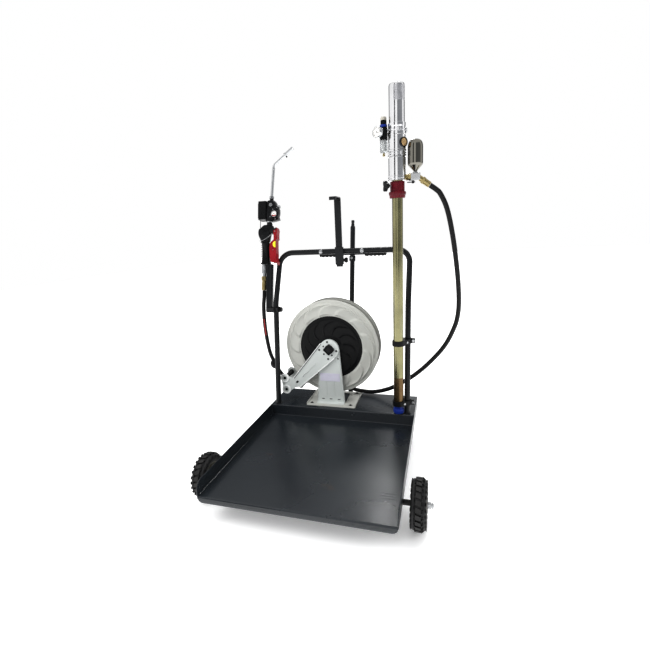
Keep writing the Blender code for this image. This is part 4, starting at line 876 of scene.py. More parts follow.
def reel():
    vane = lambda a, r: 0.0068 * swirl(a, r, 13, 0.1535, 0.2085, True)
    kit = Kit()
    polar_sheet(kit, ENAMEL, disc_profile(FRONT_Y + 0.001, -1), vane, 0.0018)
    kit.make("reel_disc_front", "reel_drum", "reel_front_disc", angle=24)
    rear = Kit()
    turned = [(r, y) for r, y in disc_profile(REAR_Y - 0.001, 1)]
    inner = [(0.017, REAR_Y + 0.0028), (0.06, REAR_Y + 0.0028), (0.063, REAR_Y - 0.0004),
             (0.108, REAR_Y - 0.0004), (0.112, REAR_Y + 0.0026), (0.144, REAR_Y + 0.0026)]
    polar_sheet(rear, ENAMEL, inner + turned, lambda a,
                r: 0.006 * swirl(-a, r, 13, 0.1535, 0.2085, True), 0.0018, 1)
    rear.lathe(ENAMEL, [(0.108, FRONT_Y + 0.0033), (0.115, FRONT_Y + 0.0033),
                        (0.115, REAR_Y - 0.003), (0.108, REAR_Y - 0.003)], (REEL_X, 0, REEL_Z), Y,
               72)
    rear.lathe(PAINT, [(0.0165, REAR_Y - 0.03), (0.03, REAR_Y - 0.03), (0.03, REAR_Y + 0.003),
                       (0.0165, REAR_Y + 0.003)], (REEL_X, 0, REEL_Z), Y, 40)
    for k in range(6):
        a = TAU * k / 6
        at = Vector((REEL_X + 0.046 * math.cos(a), REAR_Y + 0.0024, REEL_Z + 0.046 * math.sin(a)))
        rear.hex_head(ZINC, 0.007, at, at + Y * 0.0004)
    rear.make("reel_disc_rear", "reel_drum", "reel_rear_disc_drum", angle=24)
    cover = Kit()
    profile = [(0.0168, FRONT_Y - 0.016), (0.047, FRONT_Y - 0.0158), (0.051, FRONT_Y - 0.015),
               (0.054, FRONT_Y - 0.0126), (0.057, FRONT_Y - 0.0104), (0.06, FRONT_Y - 0.0098)]
    profile += [(0.063 + 0.0024 * k, FRONT_Y - 0.0096 + 0.00004 * k) for k in range(28)]
    profile += [(0.13, FRONT_Y - 0.0078), (0.133, FRONT_Y - 0.007), (0.1352, FRONT_Y - 0.005),
                (0.14, FRONT_Y - 0.0046), (0.144, FRONT_Y - 0.0042), (0.1456, FRONT_Y - 0.0026)]
    axis = Vector((REEL_X, FRONT_Y - 0.008, REEL_Z))
    polar_sheet(cover, PLASTIC, profile, lambda a, r: 0.003 * swirl(a, r, 11, 0.064, 0.1285, False),
                0.0022)
    cover.verts = [axis + (v - axis) * 1.04 if (v - axis).length > 0.075 else v
                   for v in cover.verts]
    cover.make("spring_cover_disc", "reel_drum", "spring_case_cover", angle=30)
    kit = Kit()
    r = COIL_OUT - HOSE_R
    start = math.atan2(0.245 - REEL_Z, -0.145 - REEL_X)
    far = math.hypot(0.245 - REEL_Z, -0.145 - REEL_X) - r
    first, last = FRONT_Y + 0.0132, REAR_Y - 0.0118
    path = []
    for k in range(4 * 60 - 18):
        a = TAU * k / 60
        rad = r + (far - 0.0006) * math.exp(-a / 0.34)
        y = first + (last - first) * min(1.0, a / TAU / 3.55)
        path.append((REEL_X + rad * math.cos(start + a), y, REEL_Z + rad * math.sin(start + a)))
    kit.tube(RUBBER, path, HOSE_R - 0.0001, 20)
    under = [(0.1152, FRONT_Y + 0.004)]
    for j in range(4):
        y = FRONT_Y + 0.004 + 0.0183 * j
        under += [(r - 0.006 + 0.006 * math.sin(math.pi * s / 6) - 0.006, y + 0.0183 * s / 6)
                  for s in range(6)]
    kit.lathe(RUBBER, under + [(0.1152, REAR_Y - 0.0032)], (REEL_X, 0, REEL_Z), Y, 96)
    kit.make("hose_turns", "reel_drum", "wound_hose_coil", angle=60)
    shaft = Kit()
    axis = Vector((REEL_X, 0, REEL_Z))
    shaft.lathe(PLASTIC, mm((0, 156.2), (21.5, 156.2), (21.5, 161.2), (16, 161.2), (16, 286),
                            (0, 286)), axis, Y, 48)
    shaft.prism(PLASTIC, round_box(0.0198, 0.0198, 0.0055, 5), 0.1495, 0.1612, axis, Y, X + Z)
    shaft.rod(SATIN, 0.0095, axis + Y * 0.1482, axis + Y * 0.15, 28, 0.0006)
    shaft.make("reel_axle", nodes="reel_shaft", bevel=0.0006)


def reel_flat(kit, look, outline, y0, y1, holes=()):
    """A plate across the reel's axis; outline and holes are (x, z) about it."""
    turn = lambda ring: [(u, -v) for u, v in ring]
    outline_with_holes(kit, look, turn(outline), [turn(h) for h in holes], y0, y1,
                       (REEL_X, 0, REEL_Z), Y, X)


def reel_stand():
    z0, foot = SHELF_Z + 0.0003, SHELF_Z + 0.0038 - REEL_Z
    kit = Kit()
    y0, y1 = 0.169, 0.1722
    shape = [(-0.072, foot), (0.064, foot)] + arc(0, 0, 0.047, 10, 170, 20)
    holes = [circle(0.0395, -0.047, 0.0038), circle(0, 0, 0.0165, 28)]
    holes += [slot_hole(x, foot + 0.0175, 0.0042, 0.0028) for x in (-0.042, -0.004, 0.036)]
    reel_flat(kit, PRESSED, shape, y0, y1, holes)
    for e, u0, u1 in ((-1, -0.072, -0.0463), (1, 0.064, 0.0463)):
        steps = 10
        verts = []
        for k in range(steps + 1):
            t = k / steps
            u, v = u0 + (u1 - u0) * t, foot + (-0.005 - foot) * t
            for du, y in ((0, y0 - 0.0028), (0, 0.18), (-e * 0.0028, 0.18),
                          (-e * 0.0028, y0 - 0.0006), (-e * 0.001, y0 - 0.0028)):
                verts.append((REEL_X + u + du, y, REEL_Z + v))
        quads = [[k * 5 + s, k * 5 + (s + 1) % 5, k * 5 + 5 + (s + 1) % 5, k * 5 + 5 + s]
                 for k in range(steps) for s in range(5)]
        quads += [[0, 1, 2, 3, 4], [steps * 5 + s for s in (4, 3, 2, 1, 0)]]
        kit.add(verts, quads, PRESSED)
    for x in (-0.023, 0.015):
        kit.prism(PRESSED, round_box(0.0024, 0.048, 0.0023, 4), -0.0014, 0.001,
                  (REEL_X + x, y0, REEL_Z - 0.19), Y, X)
    for x in (-0.042, -0.004, 0.036):
        dome = [(0.0088 * math.cos(a), 0.005 * math.sin(a))
                for a in [math.pi * k / 10 for k in range(11)]]
        kit.prism(PRESSED, [(u, -v) for u, v in dome], -0.003, 0.001,
                  (REEL_X + x, y0, REEL_Z + foot + 0.0205), Y, X)
    # A black strip behind the louvre slots and a black plug in the small hole are painted shade in
    # these openings.
    kit.box(FLAT_BLACK_AND_SHADE, (REEL_X - 0.054, y1 + 0.0002, REEL_Z + foot + 0.01),
            (REEL_X + 0.048, y1 + 0.0016, REEL_Z + foot + 0.023))
    kit.rod(FLAT_BLACK_AND_SHADE, 0.0037, (REEL_X + 0.0395, y0 + 0.0006, REEL_Z - 0.047),
            (REEL_X + 0.0395, y1, REEL_Z - 0.047), 16)
    kit.make("pedestal_plate", bevel=0.0006)
    base = Kit()
    bolt_at = [(x, y) for x in (-0.146, 0.044) for y in (0.15, 0.298)]
    rounded = [(-0.049 + u, 0.2211 + v) for u, v in round_box(0.119, 0.0949, 0.008, 5)]
    window = [(-0.049 + u, 0.229 + v) for u, v in round_box(0.062, 0.064, 0.01, 5)]
    outline_with_holes(base, ENAMEL, rounded,
                       [slot_hole(x, y, 0.0045, 0.0055) for x, y in bolt_at] + [window], z0,
                       z0 + 0.0034)
    for x in (-0.168, 0.07):
        inward = 0.0022 if x < 0 else -0.0022
        base.box(ENAMEL, (min(x, x + inward), 0.1345, z0 + 0.002),
                 (max(x, x + inward), 0.308, z0 + 0.0105))
    base.box(ENAMEL, (-0.112, 0.131, z0 + 0.0018), (0.014, 0.1335, z0 + 0.0072))
    base.box(PRESSED, (REEL_X - 0.07, 0.149, z0 + 0.003), (REEL_X + 0.062, 0.1722, z0 + 0.0056))
    base.make("pedestal_base", nodes="reel_pedestal", bevel=0.0008)
    bolts = Kit()
    for x, y in bolt_at:
        bolts.hex_head(PLASTIC, 0.0095, (x, y, z0 + 0.0036), (x, y, z0 + 0.0072))
    bolts.make("pedestal_bolts", bevel=0.0004)
    label = Kit()
    label.prism(TAG, round_box(0.048, 0.0195, 0.001, 2), -0.0017, -0.0003,
                (REEL_X - 0.0035, y0, REEL_Z - 0.14), Y, X)
    label.make("pedestal_blank_label")


def reel_arm():
    up, low = Vector((-0.2314, -0.1546)), Vector((-0.2262, -0.2124))
    y0, y1 = 0.1612, 0.1645
    top_a, top_b = (-0.0385, 0.027), (-0.185, -0.153)
    low_a, low_b = (0.023, -0.041), (-0.158, -0.196)
    body = arc(0, 0, 0.047, 145, -61, 28) + [low_b, (-0.175, -0.199)]
    body += arc(low.x, low.y, 0.0225, -10, -215, 20)
    body += arc(up.x, up.y, 0.0225, 215, 40, 18) + [(-0.205, -0.15), top_b]
    rivets = ((-0.008, 0.035, 0.0052), (-0.048, -0.004, 0.0052), (0.0345, -0.007, 0.0052),
              (-0.006, -0.047, 0.0052), (-0.027, 0.0135, 0.004), (-0.026, -0.024, 0.0044),
              (0.0125, -0.028, 0.0044))
    window = [(-0.168 + u * 0.72 + v * 0.69, -0.171 + u * 0.69 - v * 0.72) for u,
              v in round_box(0.0078, 0.005, 0.0016, 3)]
    holes = [circle(0, 0, 0.0165, 28), window] + [circle(p.x, p.y, 0.0062, 16) for p in (up, low)]
    kit = Kit()
    reel_flat(kit, PRESSED, body, y0, y1, holes)
    for u, v, r in rivets:
        kit.rod(FLAT_BLACK_AND_SHADE, r, (REEL_X + u, y0 - 0.0004, REEL_Z + v), (REEL_X + u, y1, REEL_Z + v), 20,
                0.0002)
    # A black plate behind the small window is painted shade seen through it.
    kit.box(FLAT_BLACK_AND_SHADE, (REEL_X - 0.179, y1 + 0.0002, REEL_Z - 0.181),
            (REEL_X - 0.157, y1 + 0.001, REEL_Z - 0.161))
    # White strips along both flanges are a painted highlight on their edges; the black strip inside
    # the top flange is a painted shade line.
    for (a, b), e in (((top_a, top_b), 1), ((low_a, low_b), -1)):
        a, b = Vector(a), Vector(b)
        way = (b - a).normalized()
        side = Vector((way.y, -way.x)) * e
        strip = [a, b, b + side * 0.0036, a + side * 0.0036]
        reel_flat(kit, BOSS_AND_HIGHLIGHT_WHITE, [(p.x, p.y) for p in strip], 0.1562, y1)
        shade = [a - side * 0.0004, b - side * 0.0004, b - side * 0.0028, a - side * 0.0028]
        if e > 0:
            reel_flat(kit, FLAT_BLACK_AND_SHADE, [(p.x, p.y) for p in shade], y0 - 0.0004, y0 + 0.0006)
    way = Vector((-0.1715, -0.1745)).normalized()
    across = Vector((-way.y, way.x))
    ridge = [way * 0.15 + way * u + across * v for u, v in round_box(0.048, 0.0034, 0.0033, 5)]
    reel_flat(kit, PRESSED, [(p.x, p.y) for p in ridge], y0 - 0.0016, y0 + 0.001)
    for p in (up, low):
        at = Vector((REEL_X + p.x, 0, REEL_Z + p.y))
        kit.lathe(BOSS_AND_HIGHLIGHT_WHITE, [(0.015, 0.1572), (0.02, 0.1566), (0.0222, 0.158), (0.023, 0.161),
                         (0.023, y1), (0.018, y1), (0.016, 0.1606), (0.0144, 0.16)], at, Y, 40)
        kit.lathe(PLASTIC, mm((0, 158.8), (6.2, 158.5), (6.8, 160), (6.8, 166.4), (4.8, 166.6),
                              (4.8, 261), (0, 261)), at, Y, 28)
    rear = [(-0.145, -0.205), (-0.164, -0.204)] + arc(low.x, low.y, 0.0235, -60, -200, 16)
    rear += arc(up.x, up.y, 0.0235, 200, 60, 16) + [(-0.16, -0.15), (-0.145, -0.16)]
    reel_flat(kit, PRESSED, rear, 0.256, 0.259)
    reel_flat(kit, PRESSED, mm((-160, -203), (-146, -203), (-146, -200), (-160, -200)), 0.164,
              0.257)
    kit.make("guide_arm_plate", nodes="hose_guide_arm", bevel=0.0006)
    for name, p, body_name in (("upper", up, "guide_roller_top"),
                               ("lower", low, "guide_roller_bottom")):
        at = Vector((REEL_X + p.x, 0.1665, REEL_Z + p.y))
        roller = Kit()
        shape = mm((4.9, 0.2), (11.8, 0.2), (12.5, 1))
        for k in range(9):
            t = 0.006 + 0.076 * k / 8
            shape.append((0.0125 - 0.0016 * math.sin(math.pi * k / 8), t))
        shape += mm((12.5, 87), (11.8, 87.8), (4.9, 87.8))
        roller.lathe(PLASTIC, shape, at, Y, 36)
        roller.make(name + "_roller_sleeve", body_name, name + "_guide_roller")


# ---------------------------------------------------------------- pump
def pump():
    side, r = Vector((PUMP_X, PUMP_Y, 0)), PUMP_R
    kit = Kit()
    kit.lathe(POLISHED, [(0, 1.4862), (r - 0.006, 1.4862), (r - 0.0028, 1.485),
                         (r - 0.0006, 1.4815), (r, 1.477), (r, 1.35), (r - 0.0006, 1.3494),
                         (0.026, 1.3494), (0.026, 1.475), (0, 1.475)], side, Z, 96)
    way = Vector((0.42, -0.9075, 0))
    verts, faces, steps = [], [], 20
    for layer in (r - 0.0002, r + 0.0004):
        for z in (1.477, 1.425):
            for k in range(steps + 1):
                a = math.atan2(way.y, way.x) + math.radians(-44 + 88 * k / steps)
                verts.append((side.x + layer * math.cos(a), side.y + layer * math.sin(a), z))
    n = steps + 1
    for k in range(steps):
        faces += [[2 * n + k, 2 * n + k + 1, 3 * n + k + 1, 3 * n + k],
                  [k, n + k, n + k + 1, k + 1], [k, k + 1, 2 * n + k + 1, 2 * n + k],
                  [n + k, 3 * n + k, 3 * n + k + 1, n + k + 1]]
    faces += [[0, 2 * n, 3 * n, n], [n - 1, 2 * n - 1, 4 * n - 1, 3 * n - 1]]
    kit.add(verts, faces, FOIL)
    kit.make("motor_cylinder", nodes="air_cylinder", bevel=0.0003)
    r += 0.0032
    wide = r + 0.0018
    body = Kit()
    body.lathe(POLISHED, [(0.0066, 1.2304), (wide, 1.2304), (wide, 1.236), (r - 0.0012, 1.2364),
                          (r - 0.0012, 1.2384), (wide - 0.0002, 1.239), (wide - 0.0002, 1.244),
                          (r - 0.0026, 1.2446), (r - 0.0026, 1.2466), (wide, 1.2474), (wide, 1.254),
                          (r, 1.2552), (r, 1.3068), (wide, 1.308), (wide, 1.318),
                          (r - 0.0022, 1.319), (r - 0.0022, 1.3222), (wide, 1.3228), (wide, 1.3268),
                          (r - 0.001, 1.3276), (r - 0.001, 1.335), (r, 1.337), (r, 1.3489),
                          (0.0066, 1.3489)], side, Z, 96)
    for z, e in ((1.3248, 0), (1.2405, 0.3)):
        for k in range(4):
            a = math.radians(18 + 90 * k) + e
            out = Vector((math.cos(a), math.sin(a), 0))
            at = side + out * (r - 0.0015) + Z * z
            body.prism(POLISHED, arc(0.0008, 0, 0.0062, -80, 80, 10), -0.0058, 0.0058, at, Z, out)
            body.hex_head(ZINC, 0.0062, at + out * 0.0028 - Z * 0.0057,
                          at + out * 0.0028 - Z * 0.0086)
            body.rod(ZINC, 0.0034, at + out * 0.0028 + Z * 0.0057, at + out * 0.0028 + Z * 0.0082,
                     16, 0.0005)
    body.make("motor_valve_block", nodes="air_valve_body", bevel=0.0004)
    lower = Kit()
    lower.lathe(POLISHED, [(0.0066, 1.2297), (r - 0.0016, 1.2297), (r - 0.0016, 1.227), (r, 1.2262),
                           (r, 1.16), (r - 0.0008, 1.159), (r - 0.0008, 1.157), (wide, 1.1562),
                           (wide, 1.15), (r - 0.0016, 1.1494), (r - 0.0016, 1.1476), (wide, 1.1468),
                           (wide, 1.1428), (0.0212, 1.1428), (0.0212, 1.21), (0.0066, 1.211)], side,
                Z, 96)
    lower.make("pump_lower_barrel", nodes="pump_lower_body", bevel=0.0004)
    paint_node("air_piston_and_rod", ZINC)
    tube = Kit()
    tube.lathe(GOLD, [(0.0185, 0.329), (SUCTION_R, 0.329), (SUCTION_R, 1.2088), (0.0185, 1.2088)],
               side, Z, 72)
    tube.lathe(BRONZED, [(0.0185, 0.213), (SUCTION_R, 0.213), (SUCTION_R, 0.3288),
                         (0.0185, 0.3288)], side, Z, 72)
    tube.lathe(ZINC, [(0.0185, 0.2005), (SUCTION_R + 0.0002, 0.2005), (SUCTION_R + 0.0002, 0.2128),
                      (0.0185, 0.2128)], side, Z, 72)
    tube.make("suction_pipe", nodes="suction_tube")
    foot = Kit()
    foot.lathe(BLUE, mm((10, 160.2), (19, 160.2), (21.4, 161.4), (22.5, 164), (22.5, 181.5),
                        (22, 182.6), (19.6, 183.2), (19.6, 199.8), (12, 199.8), (10, 190)), side, Z,
               64)
    for out in spokes(16):
        foot.rod(BLUE, 0.0016, side + out * 0.0222 + Z * 0.1655, side + out * 0.0222 + Z * 0.1795,
                 10, 0.0005)
    foot.make("foot_valve_strainer", nodes="foot_valve", bevel=0.0004)
    collar = Kit()
    inner = SUCTION_R + 0.0003
    screw_way = Vector((-0.85, -0.527, 0)).normalized()
    collar.lathe(CRIMSON, [(inner, 1.0772), (0.0288, 1.0772), (0.03, 1.079), (0.0306, 1.085),
                           (0.0312, 1.0885), (0.0328, 1.0905), (0.0334, 1.094), (0.0334, 1.0985),
                           (0.0326, 1.101), (0.0292, 1.1022), (0.0262, 1.104), (0.0262, 1.1385),
                           (0.0272, 1.1388), (0.0272, 1.1398), (inner, 1.1398)], side, Z, 72)
    for out in spokes(18, 0.5):
        if out.dot(screw_way) > 0.97:
            continue
        collar.prism(CRIMSON, round_box(0.0016, 0.0018, 0.001, 3), 1.103, 1.1388,
                     side + out * 0.0262, Z, out)
    for k in range(3):
        z = 1.0795 + 0.0032 * k
        collar.lathe(CRIMSON, [(0.029, z), (0.0308, z + 0.0004), (0.0308, z + 0.0012),
                               (0.029, z + 0.0018)], side, Z, 72)
    collar.make("bung_collar_body", "bung_collar", "bung_adapter", bevel=0.0004)
    out = screw_way
    at = side + Z * 1.124
    screw = Kit()
    screw.lathe(ZINC, mm((0, 21.8), (3.3, 21.8), (3.3, 34.5), (0, 34.5)), at, out, 24)
    screw.lathe(PLASTIC, mm((0, 33.5), (5.5, 33.5), (6.4, 35), (10, 40), (12.5, 44), (0, 44)), at,
                out, 32)
    lobed = [(0.0168 + 0.005 * math.cos(k * TAU / 24), k * TAU / 72) for k in range(72)]
    screw.prism(PLASTIC, [(q * math.cos(a), q * math.sin(a)) for q, a in lobed], 0.042, 0.0545, at,
                out)
    screw.lathe(PLASTIC, mm((0, 54), (9, 54), (7.5, 55.6), (0, 56.2)), at, out, 24)
    screw.make("thumb_screw_head", "bung_screw", "adapter_thumb_screw", bevel=0.0022, steps=4)
    way = Vector((0.766, -0.643, 0)).normalized()
    spot = side + Z * 1.278
    muffler = Kit()
    muffler.lathe(PLASTIC, mm((14.5, 28.5), (17, 29), (18, 31), (18, 38.2), (17, 39.2), (15, 39.2),
                              (14.5, 36)), spot, way, 56)
    muffler.lathe(SINTER, mm((0, 30), (14.9, 30), (14.9, 36.8), (13, 37.8), (7, 38.4), (0, 38.6)),
                  spot, way, 48)
    muffler.make("muffler_disc", nodes="exhaust_muffler", bevel=0.0004)


def outlet():
    side = Vector((PUMP_X, PUMP_Y, 1.153))
    start = side + X * 0.0318
    kit = Kit()
    kit.lathe(BRASS, mm((0, 0), (10.5, 0), (11, 1), (11, 20), (0, 20.5)), start, X, 32)
    kit.hex_head(BRASS, 0.0215, start + X * 0.002, start + X * 0.0105, turn=0.2)
    kit.hex_head(BRASS, 0.0235, start + X * 0.0125, start + X * 0.0215, turn=0.5)
    for k in range(3):
        kit.lathe(BRASS, [(0.01, 0.0104 + 0.0008 * k), (0.0116, 0.0107 + 0.0008 * k),
                          (0.01, 0.011 + 0.0008 * k)], start, X, 28)
    kit.make("outlet_nut", bevel=0.0006)
    tee = Kit()
    tee.prism(ZINC, round_box(0.012, 0.0132, 0.003, 4), 0.0528, 0.0878, side - Z * 0.0008, X, Y)
    tee.rod(ZINC, 0.0095, side + Vector((0.0688, 0, 0.01)), side + Vector((0.0688, 0, 0.017)), 32,
            0.0006)
    tee.hex_head(BRASS, 0.0165, side + Vector((0.0688, 0, 0.0124)),
                 side + Vector((0.0688, 0, 0.0168)), turn=0.2)
    way = Vector((0.8, 0.06, -0.6)).normalized()
    root = side + Vector((0.08, 0.0, -0.002))
    tee.lathe(BRASS, mm((0, 1), (10, 1), (10, 18), (0, 18)), root, way, 36)
    tee.hex_head(BRASS, 0.0225, root + way * 0.0182, root + way * 0.0285)
    profile = [(0, 0.028), (0.0104, 0.028)]
    for k in range(5):
        z = 0.0296 + 0.0046 * k
        profile += [(0.0117, z), (0.0117, z + 0.003), (0.0112, z + 0.0034), (0.0112, z + 0.0042)]
    profile += mm((11.7, 53), (10.8, 54.2), (0, 54.3))
    tee.lathe(BRASS, profile, root, way, 40)
    tee.make("outlet_tee_block", nodes="outlet_tee", bevel=0.0007)
    pivot = side + Vector((0.06, 0, -0.0143))
    lever = Kit()
    shape = [(0.008, 0.007), (-0.015, 0.007)] + arc(-0.015, 0, 0.007, 90, 270,
                                                    10)[1:-1] + [(-0.015, -0.007), (0.008, -0.007)]
    lever.prism(PLASTIC, shape, -0.0064, -0.0036, pivot, Z, X)
    lever.rod(PLASTIC, 0.0045, pivot - Z * 0.0004, pivot - Z * 0.0098, 24, 0.0006)
    lever.make("shutoff_lever_plate", "outlet_valve", "shutoff_lever", bevel=0.0006)
    top = side + Vector((0.0688, 0, 0.0173))
    dome = mm((0, 0), (5.8, 0.1), (6.4, 1.2), (8.4, 4.4), (11.8, 8.2), (16, 12.6), (20.5, 17.2),
              (24.4, 21.2), (27.2, 25), (28.6, 29), (29, 34), (29, 88), (28.6, 95), (27.4, 101),
              (25.2, 106.6), (22, 111), (17.8, 114.4), (12, 116.8), (6, 117.8), (0, 118))
    damper = Kit()
    damper.lathe(DARK_CHROME, dome, top, Z, 96)
    damper.make("surge_bottle", nodes="surge_damper", angle=60)
    return root + way * 0.0553, way


def regulator():
    c = Vector((0.2215, PUMP_Y, 0))
    kit = Kit()
    kit.prism(PLASTIC, round_box(0.014, 0.014, 0.0055, 5), 1.301, 1.33, c)
    kit.lathe(PLASTIC, mm((0, 1329), (13.5, 1329), (13.7, 1333), (12.8, 1334.5), (12.8, 1340),
                          (0, 1340.5)), c, Z, 40)
    for out in spokes(10):
        kit.rod(PLASTIC, 0.0014, c + out * 0.0126 + Z * 1.33, c + out * 0.0126 + Z * 1.3396, 10,
                0.0004)
    stop = Vector((PUMP_X - PUMP_R - 0.0017, PUMP_Y, 1.323))
    kit.rod(BRASS, 0.006, c + Vector((0.0135, 0, 1.323)), stop, 28, 0.0004)
    kit.hex_head(BRASS, 0.0125, (c.x + 0.0142, PUMP_Y, 1.323), (stop.x - 0.0008, PUMP_Y, 1.323),
                 turn=0.4)
    kit.lathe(BRASS, mm((0, -13.8), (6.2, -13.8), (6.2, -15.8), (7.5, -16), (7.5, -21.5),
                        (4.5, -22), (4.5, -29), (5.2, -29.2), (5.2, -31), (0, -31.2)),
              (c.x, PUMP_Y, 1.312), X, 28)
    out = Vector((-0.58, -0.81, 0)).normalized()
    kit.rod(PLASTIC, 0.0052, c + out * 0.01 + Z * 1.321, c + out * 0.0242 + Z * 1.321, 24)
    kit.make("regulator_housing", nodes="regulator_body", bevel=0.0006)
    knob = Kit()
    knob.lathe(BLUE, mm((10, 1341.2), (13.6, 1341.2), (13.8, 1342.5), (13.8, 1348.5),
                        (13.2, 1349.8), (10, 1350)), c, Z, 44)
    knob.lathe(PLASTIC, mm((0, 1349.8), (11, 1349.8), (10.6, 1366), (0, 1366.2)), c, Z, 40)
    knob.lathe(KNOB, mm((0, 1366), (10.8, 1366), (11.2, 1368.5), (11, 1375.2), (9.2, 1377.8),
                        (0, 1378)), c, Z, 40)
    for o in spokes(20):
        knob.rod(PLASTIC, 0.0009, c + o * 0.0107 + Z * 1.3505, c + o * 0.0105 + Z * 1.3655, 8,
                 0.0003)
    knob.make("regulator_knob_cap", "regulator_dial", "regulator_knob", bevel=0.0004)
    bowl = Kit()
    bowl.lathe(CLEAR, mm((12.8, 1295), (13.9, 1295), (13.9, 1254), (12.8, 1249.5), (9, 1248.2),
                         (5.2, 1247), (5.2, 1248), (8.6, 1249.4), (11.9, 1250.8), (12.8, 1255)), c,
               Z, 48)
    bowl.lathe(PLASTIC, mm((10, 1295), (14.2, 1295), (14.2, 1299.8), (10, 1299.8)), c, Z, 40)
    for o in spokes(8):
        bowl.rod(PLASTIC, 0.0011, c + o * 0.0139 + Z * 1.2952, c + o * 0.0139 + Z * 1.2996, 8)
    bowl.lathe(WHITE, mm((0, 1296), (8.8, 1296), (9.4, 1293), (9.4, 1258), (6, 1256), (0, 1256)), c,
               Z, 36)
    bowl.lathe(BRASS, mm((0, 1299.2), (6, 1299.2), (6, 1294.5), (0, 1294.5)), c, Z, 28)
    bowl.lathe(BRASS, mm((0, 1248), (4.8, 1248), (5, 1245.5), (3.6, 1245), (3.6, 1242),
                         (4.8, 1241.5), (4.8, 1238), (2.6, 1237.2), (2.2, 1236.2), (0, 1236.1)), c,
               Z, 28)
    bowl.make("filter_bowl_glass", nodes="filter_bowl", bevel=0.0)
    gauge = Kit()
    at = c + Z * 1.321
    gauge.lathe(CHROME, mm((0, 24.3), (18.5, 24.3), (20.5, 25), (21.2, 26.5), (21.2, 38.5),
                           (20.6, 40), (19.6, 40.8), (18.6, 40.2), (18.2, 37.5), (0, 37.5)), at,
                out, 64)
    gauge.lathe(WHITE, mm((0, 37), (18.3, 37), (18.3, 37.9), (0, 37.9)), at, out, 56)
    face = frame_of(at + out * 0.0379, out, Z)
    for k in range(31):
        inner, half = (0.0142, 0.00016) if k % 5 else (0.0128, 0.0003)
        mark(gauge, face, math.radians(-135 + 9 * k), inner, 0.016, half, 0, 0.0003)
    mark(gauge, face, math.radians(-118), -0.005, 0.0135, 0.0008, 0.0006, 0.001, 0.0002)
    gauge.rod(FLAT_BLACK_AND_SHADE, 0.002, face @ Vector((0, 0, 0)), face @ Vector((0, 0, 0.0014)), 20, 0.0003)
    gauge.make("gauge_case", nodes="pressure_gauge", bevel=0.0)


# ---------------------------------------------------------------- gun
def wound(points):
    """The corner points in counter-clockwise order."""
    area = sum(p[0] * q[1] - q[0] * p[1] for p, q in zip(points, points[1:] + points[:1]))
    return points[::-1] if area < 0 else points


def smooth_outline(points, steps=5):
    """A closed Catmull-Rom curve through the corner points."""
    pts, out = [Vector((*p, 0)) for p in points], []
    n = len(pts)
    for k in range(n):
        a, b, c, d = pts[k - 1], pts[k], pts[(k + 1) % n], pts[(k + 2) % n]
        for j in range(steps):
            t = j / steps
            p = 0.5 * (2 * b + (c - a) * t + (2 * a - 5 * b + 4 * c - d) * t * t
                       + (3 * b - a - 3 * c + d) * t ** 3)
            out.append((p.x, p.y))
    return out


def cushion_prism(kit, look, outline, half, crown, steps=6):
    """A prism across the gun's depth whose two faces are crowned in towards their edges."""
    n = len(outline)
    verts, faces = [], []
    levels = []
    for k in range(-steps, steps + 1):
        t = k / steps
        pull = crown * (1 - math.sqrt(max(0.0, 1 - t * t)))
        levels.append((t * half, pull))
    for depth, pull in levels:
        for k, (u, v) in enumerate(outline):
            (pu, pv), (qu, qv) = outline[k - 1], outline[(k + 1) % n]
            tangent = Vector((qu - pu, qv - pv)).normalized()
            normal = Vector((tangent.y, -tangent.x))
            verts.append((u - normal.x * pull, depth, v - normal.y * pull))
    for j in range(len(levels) - 1):
        for k in range(n):
            m = (k + 1) % n
            faces.append([j * n + k, j * n + m, (j + 1) * n + m, (j + 1) * n + k])
    faces += [list(range(n))[::-1], list(range((len(levels) - 1) * n, len(levels) * n))]
    kit.add(verts, faces, look)


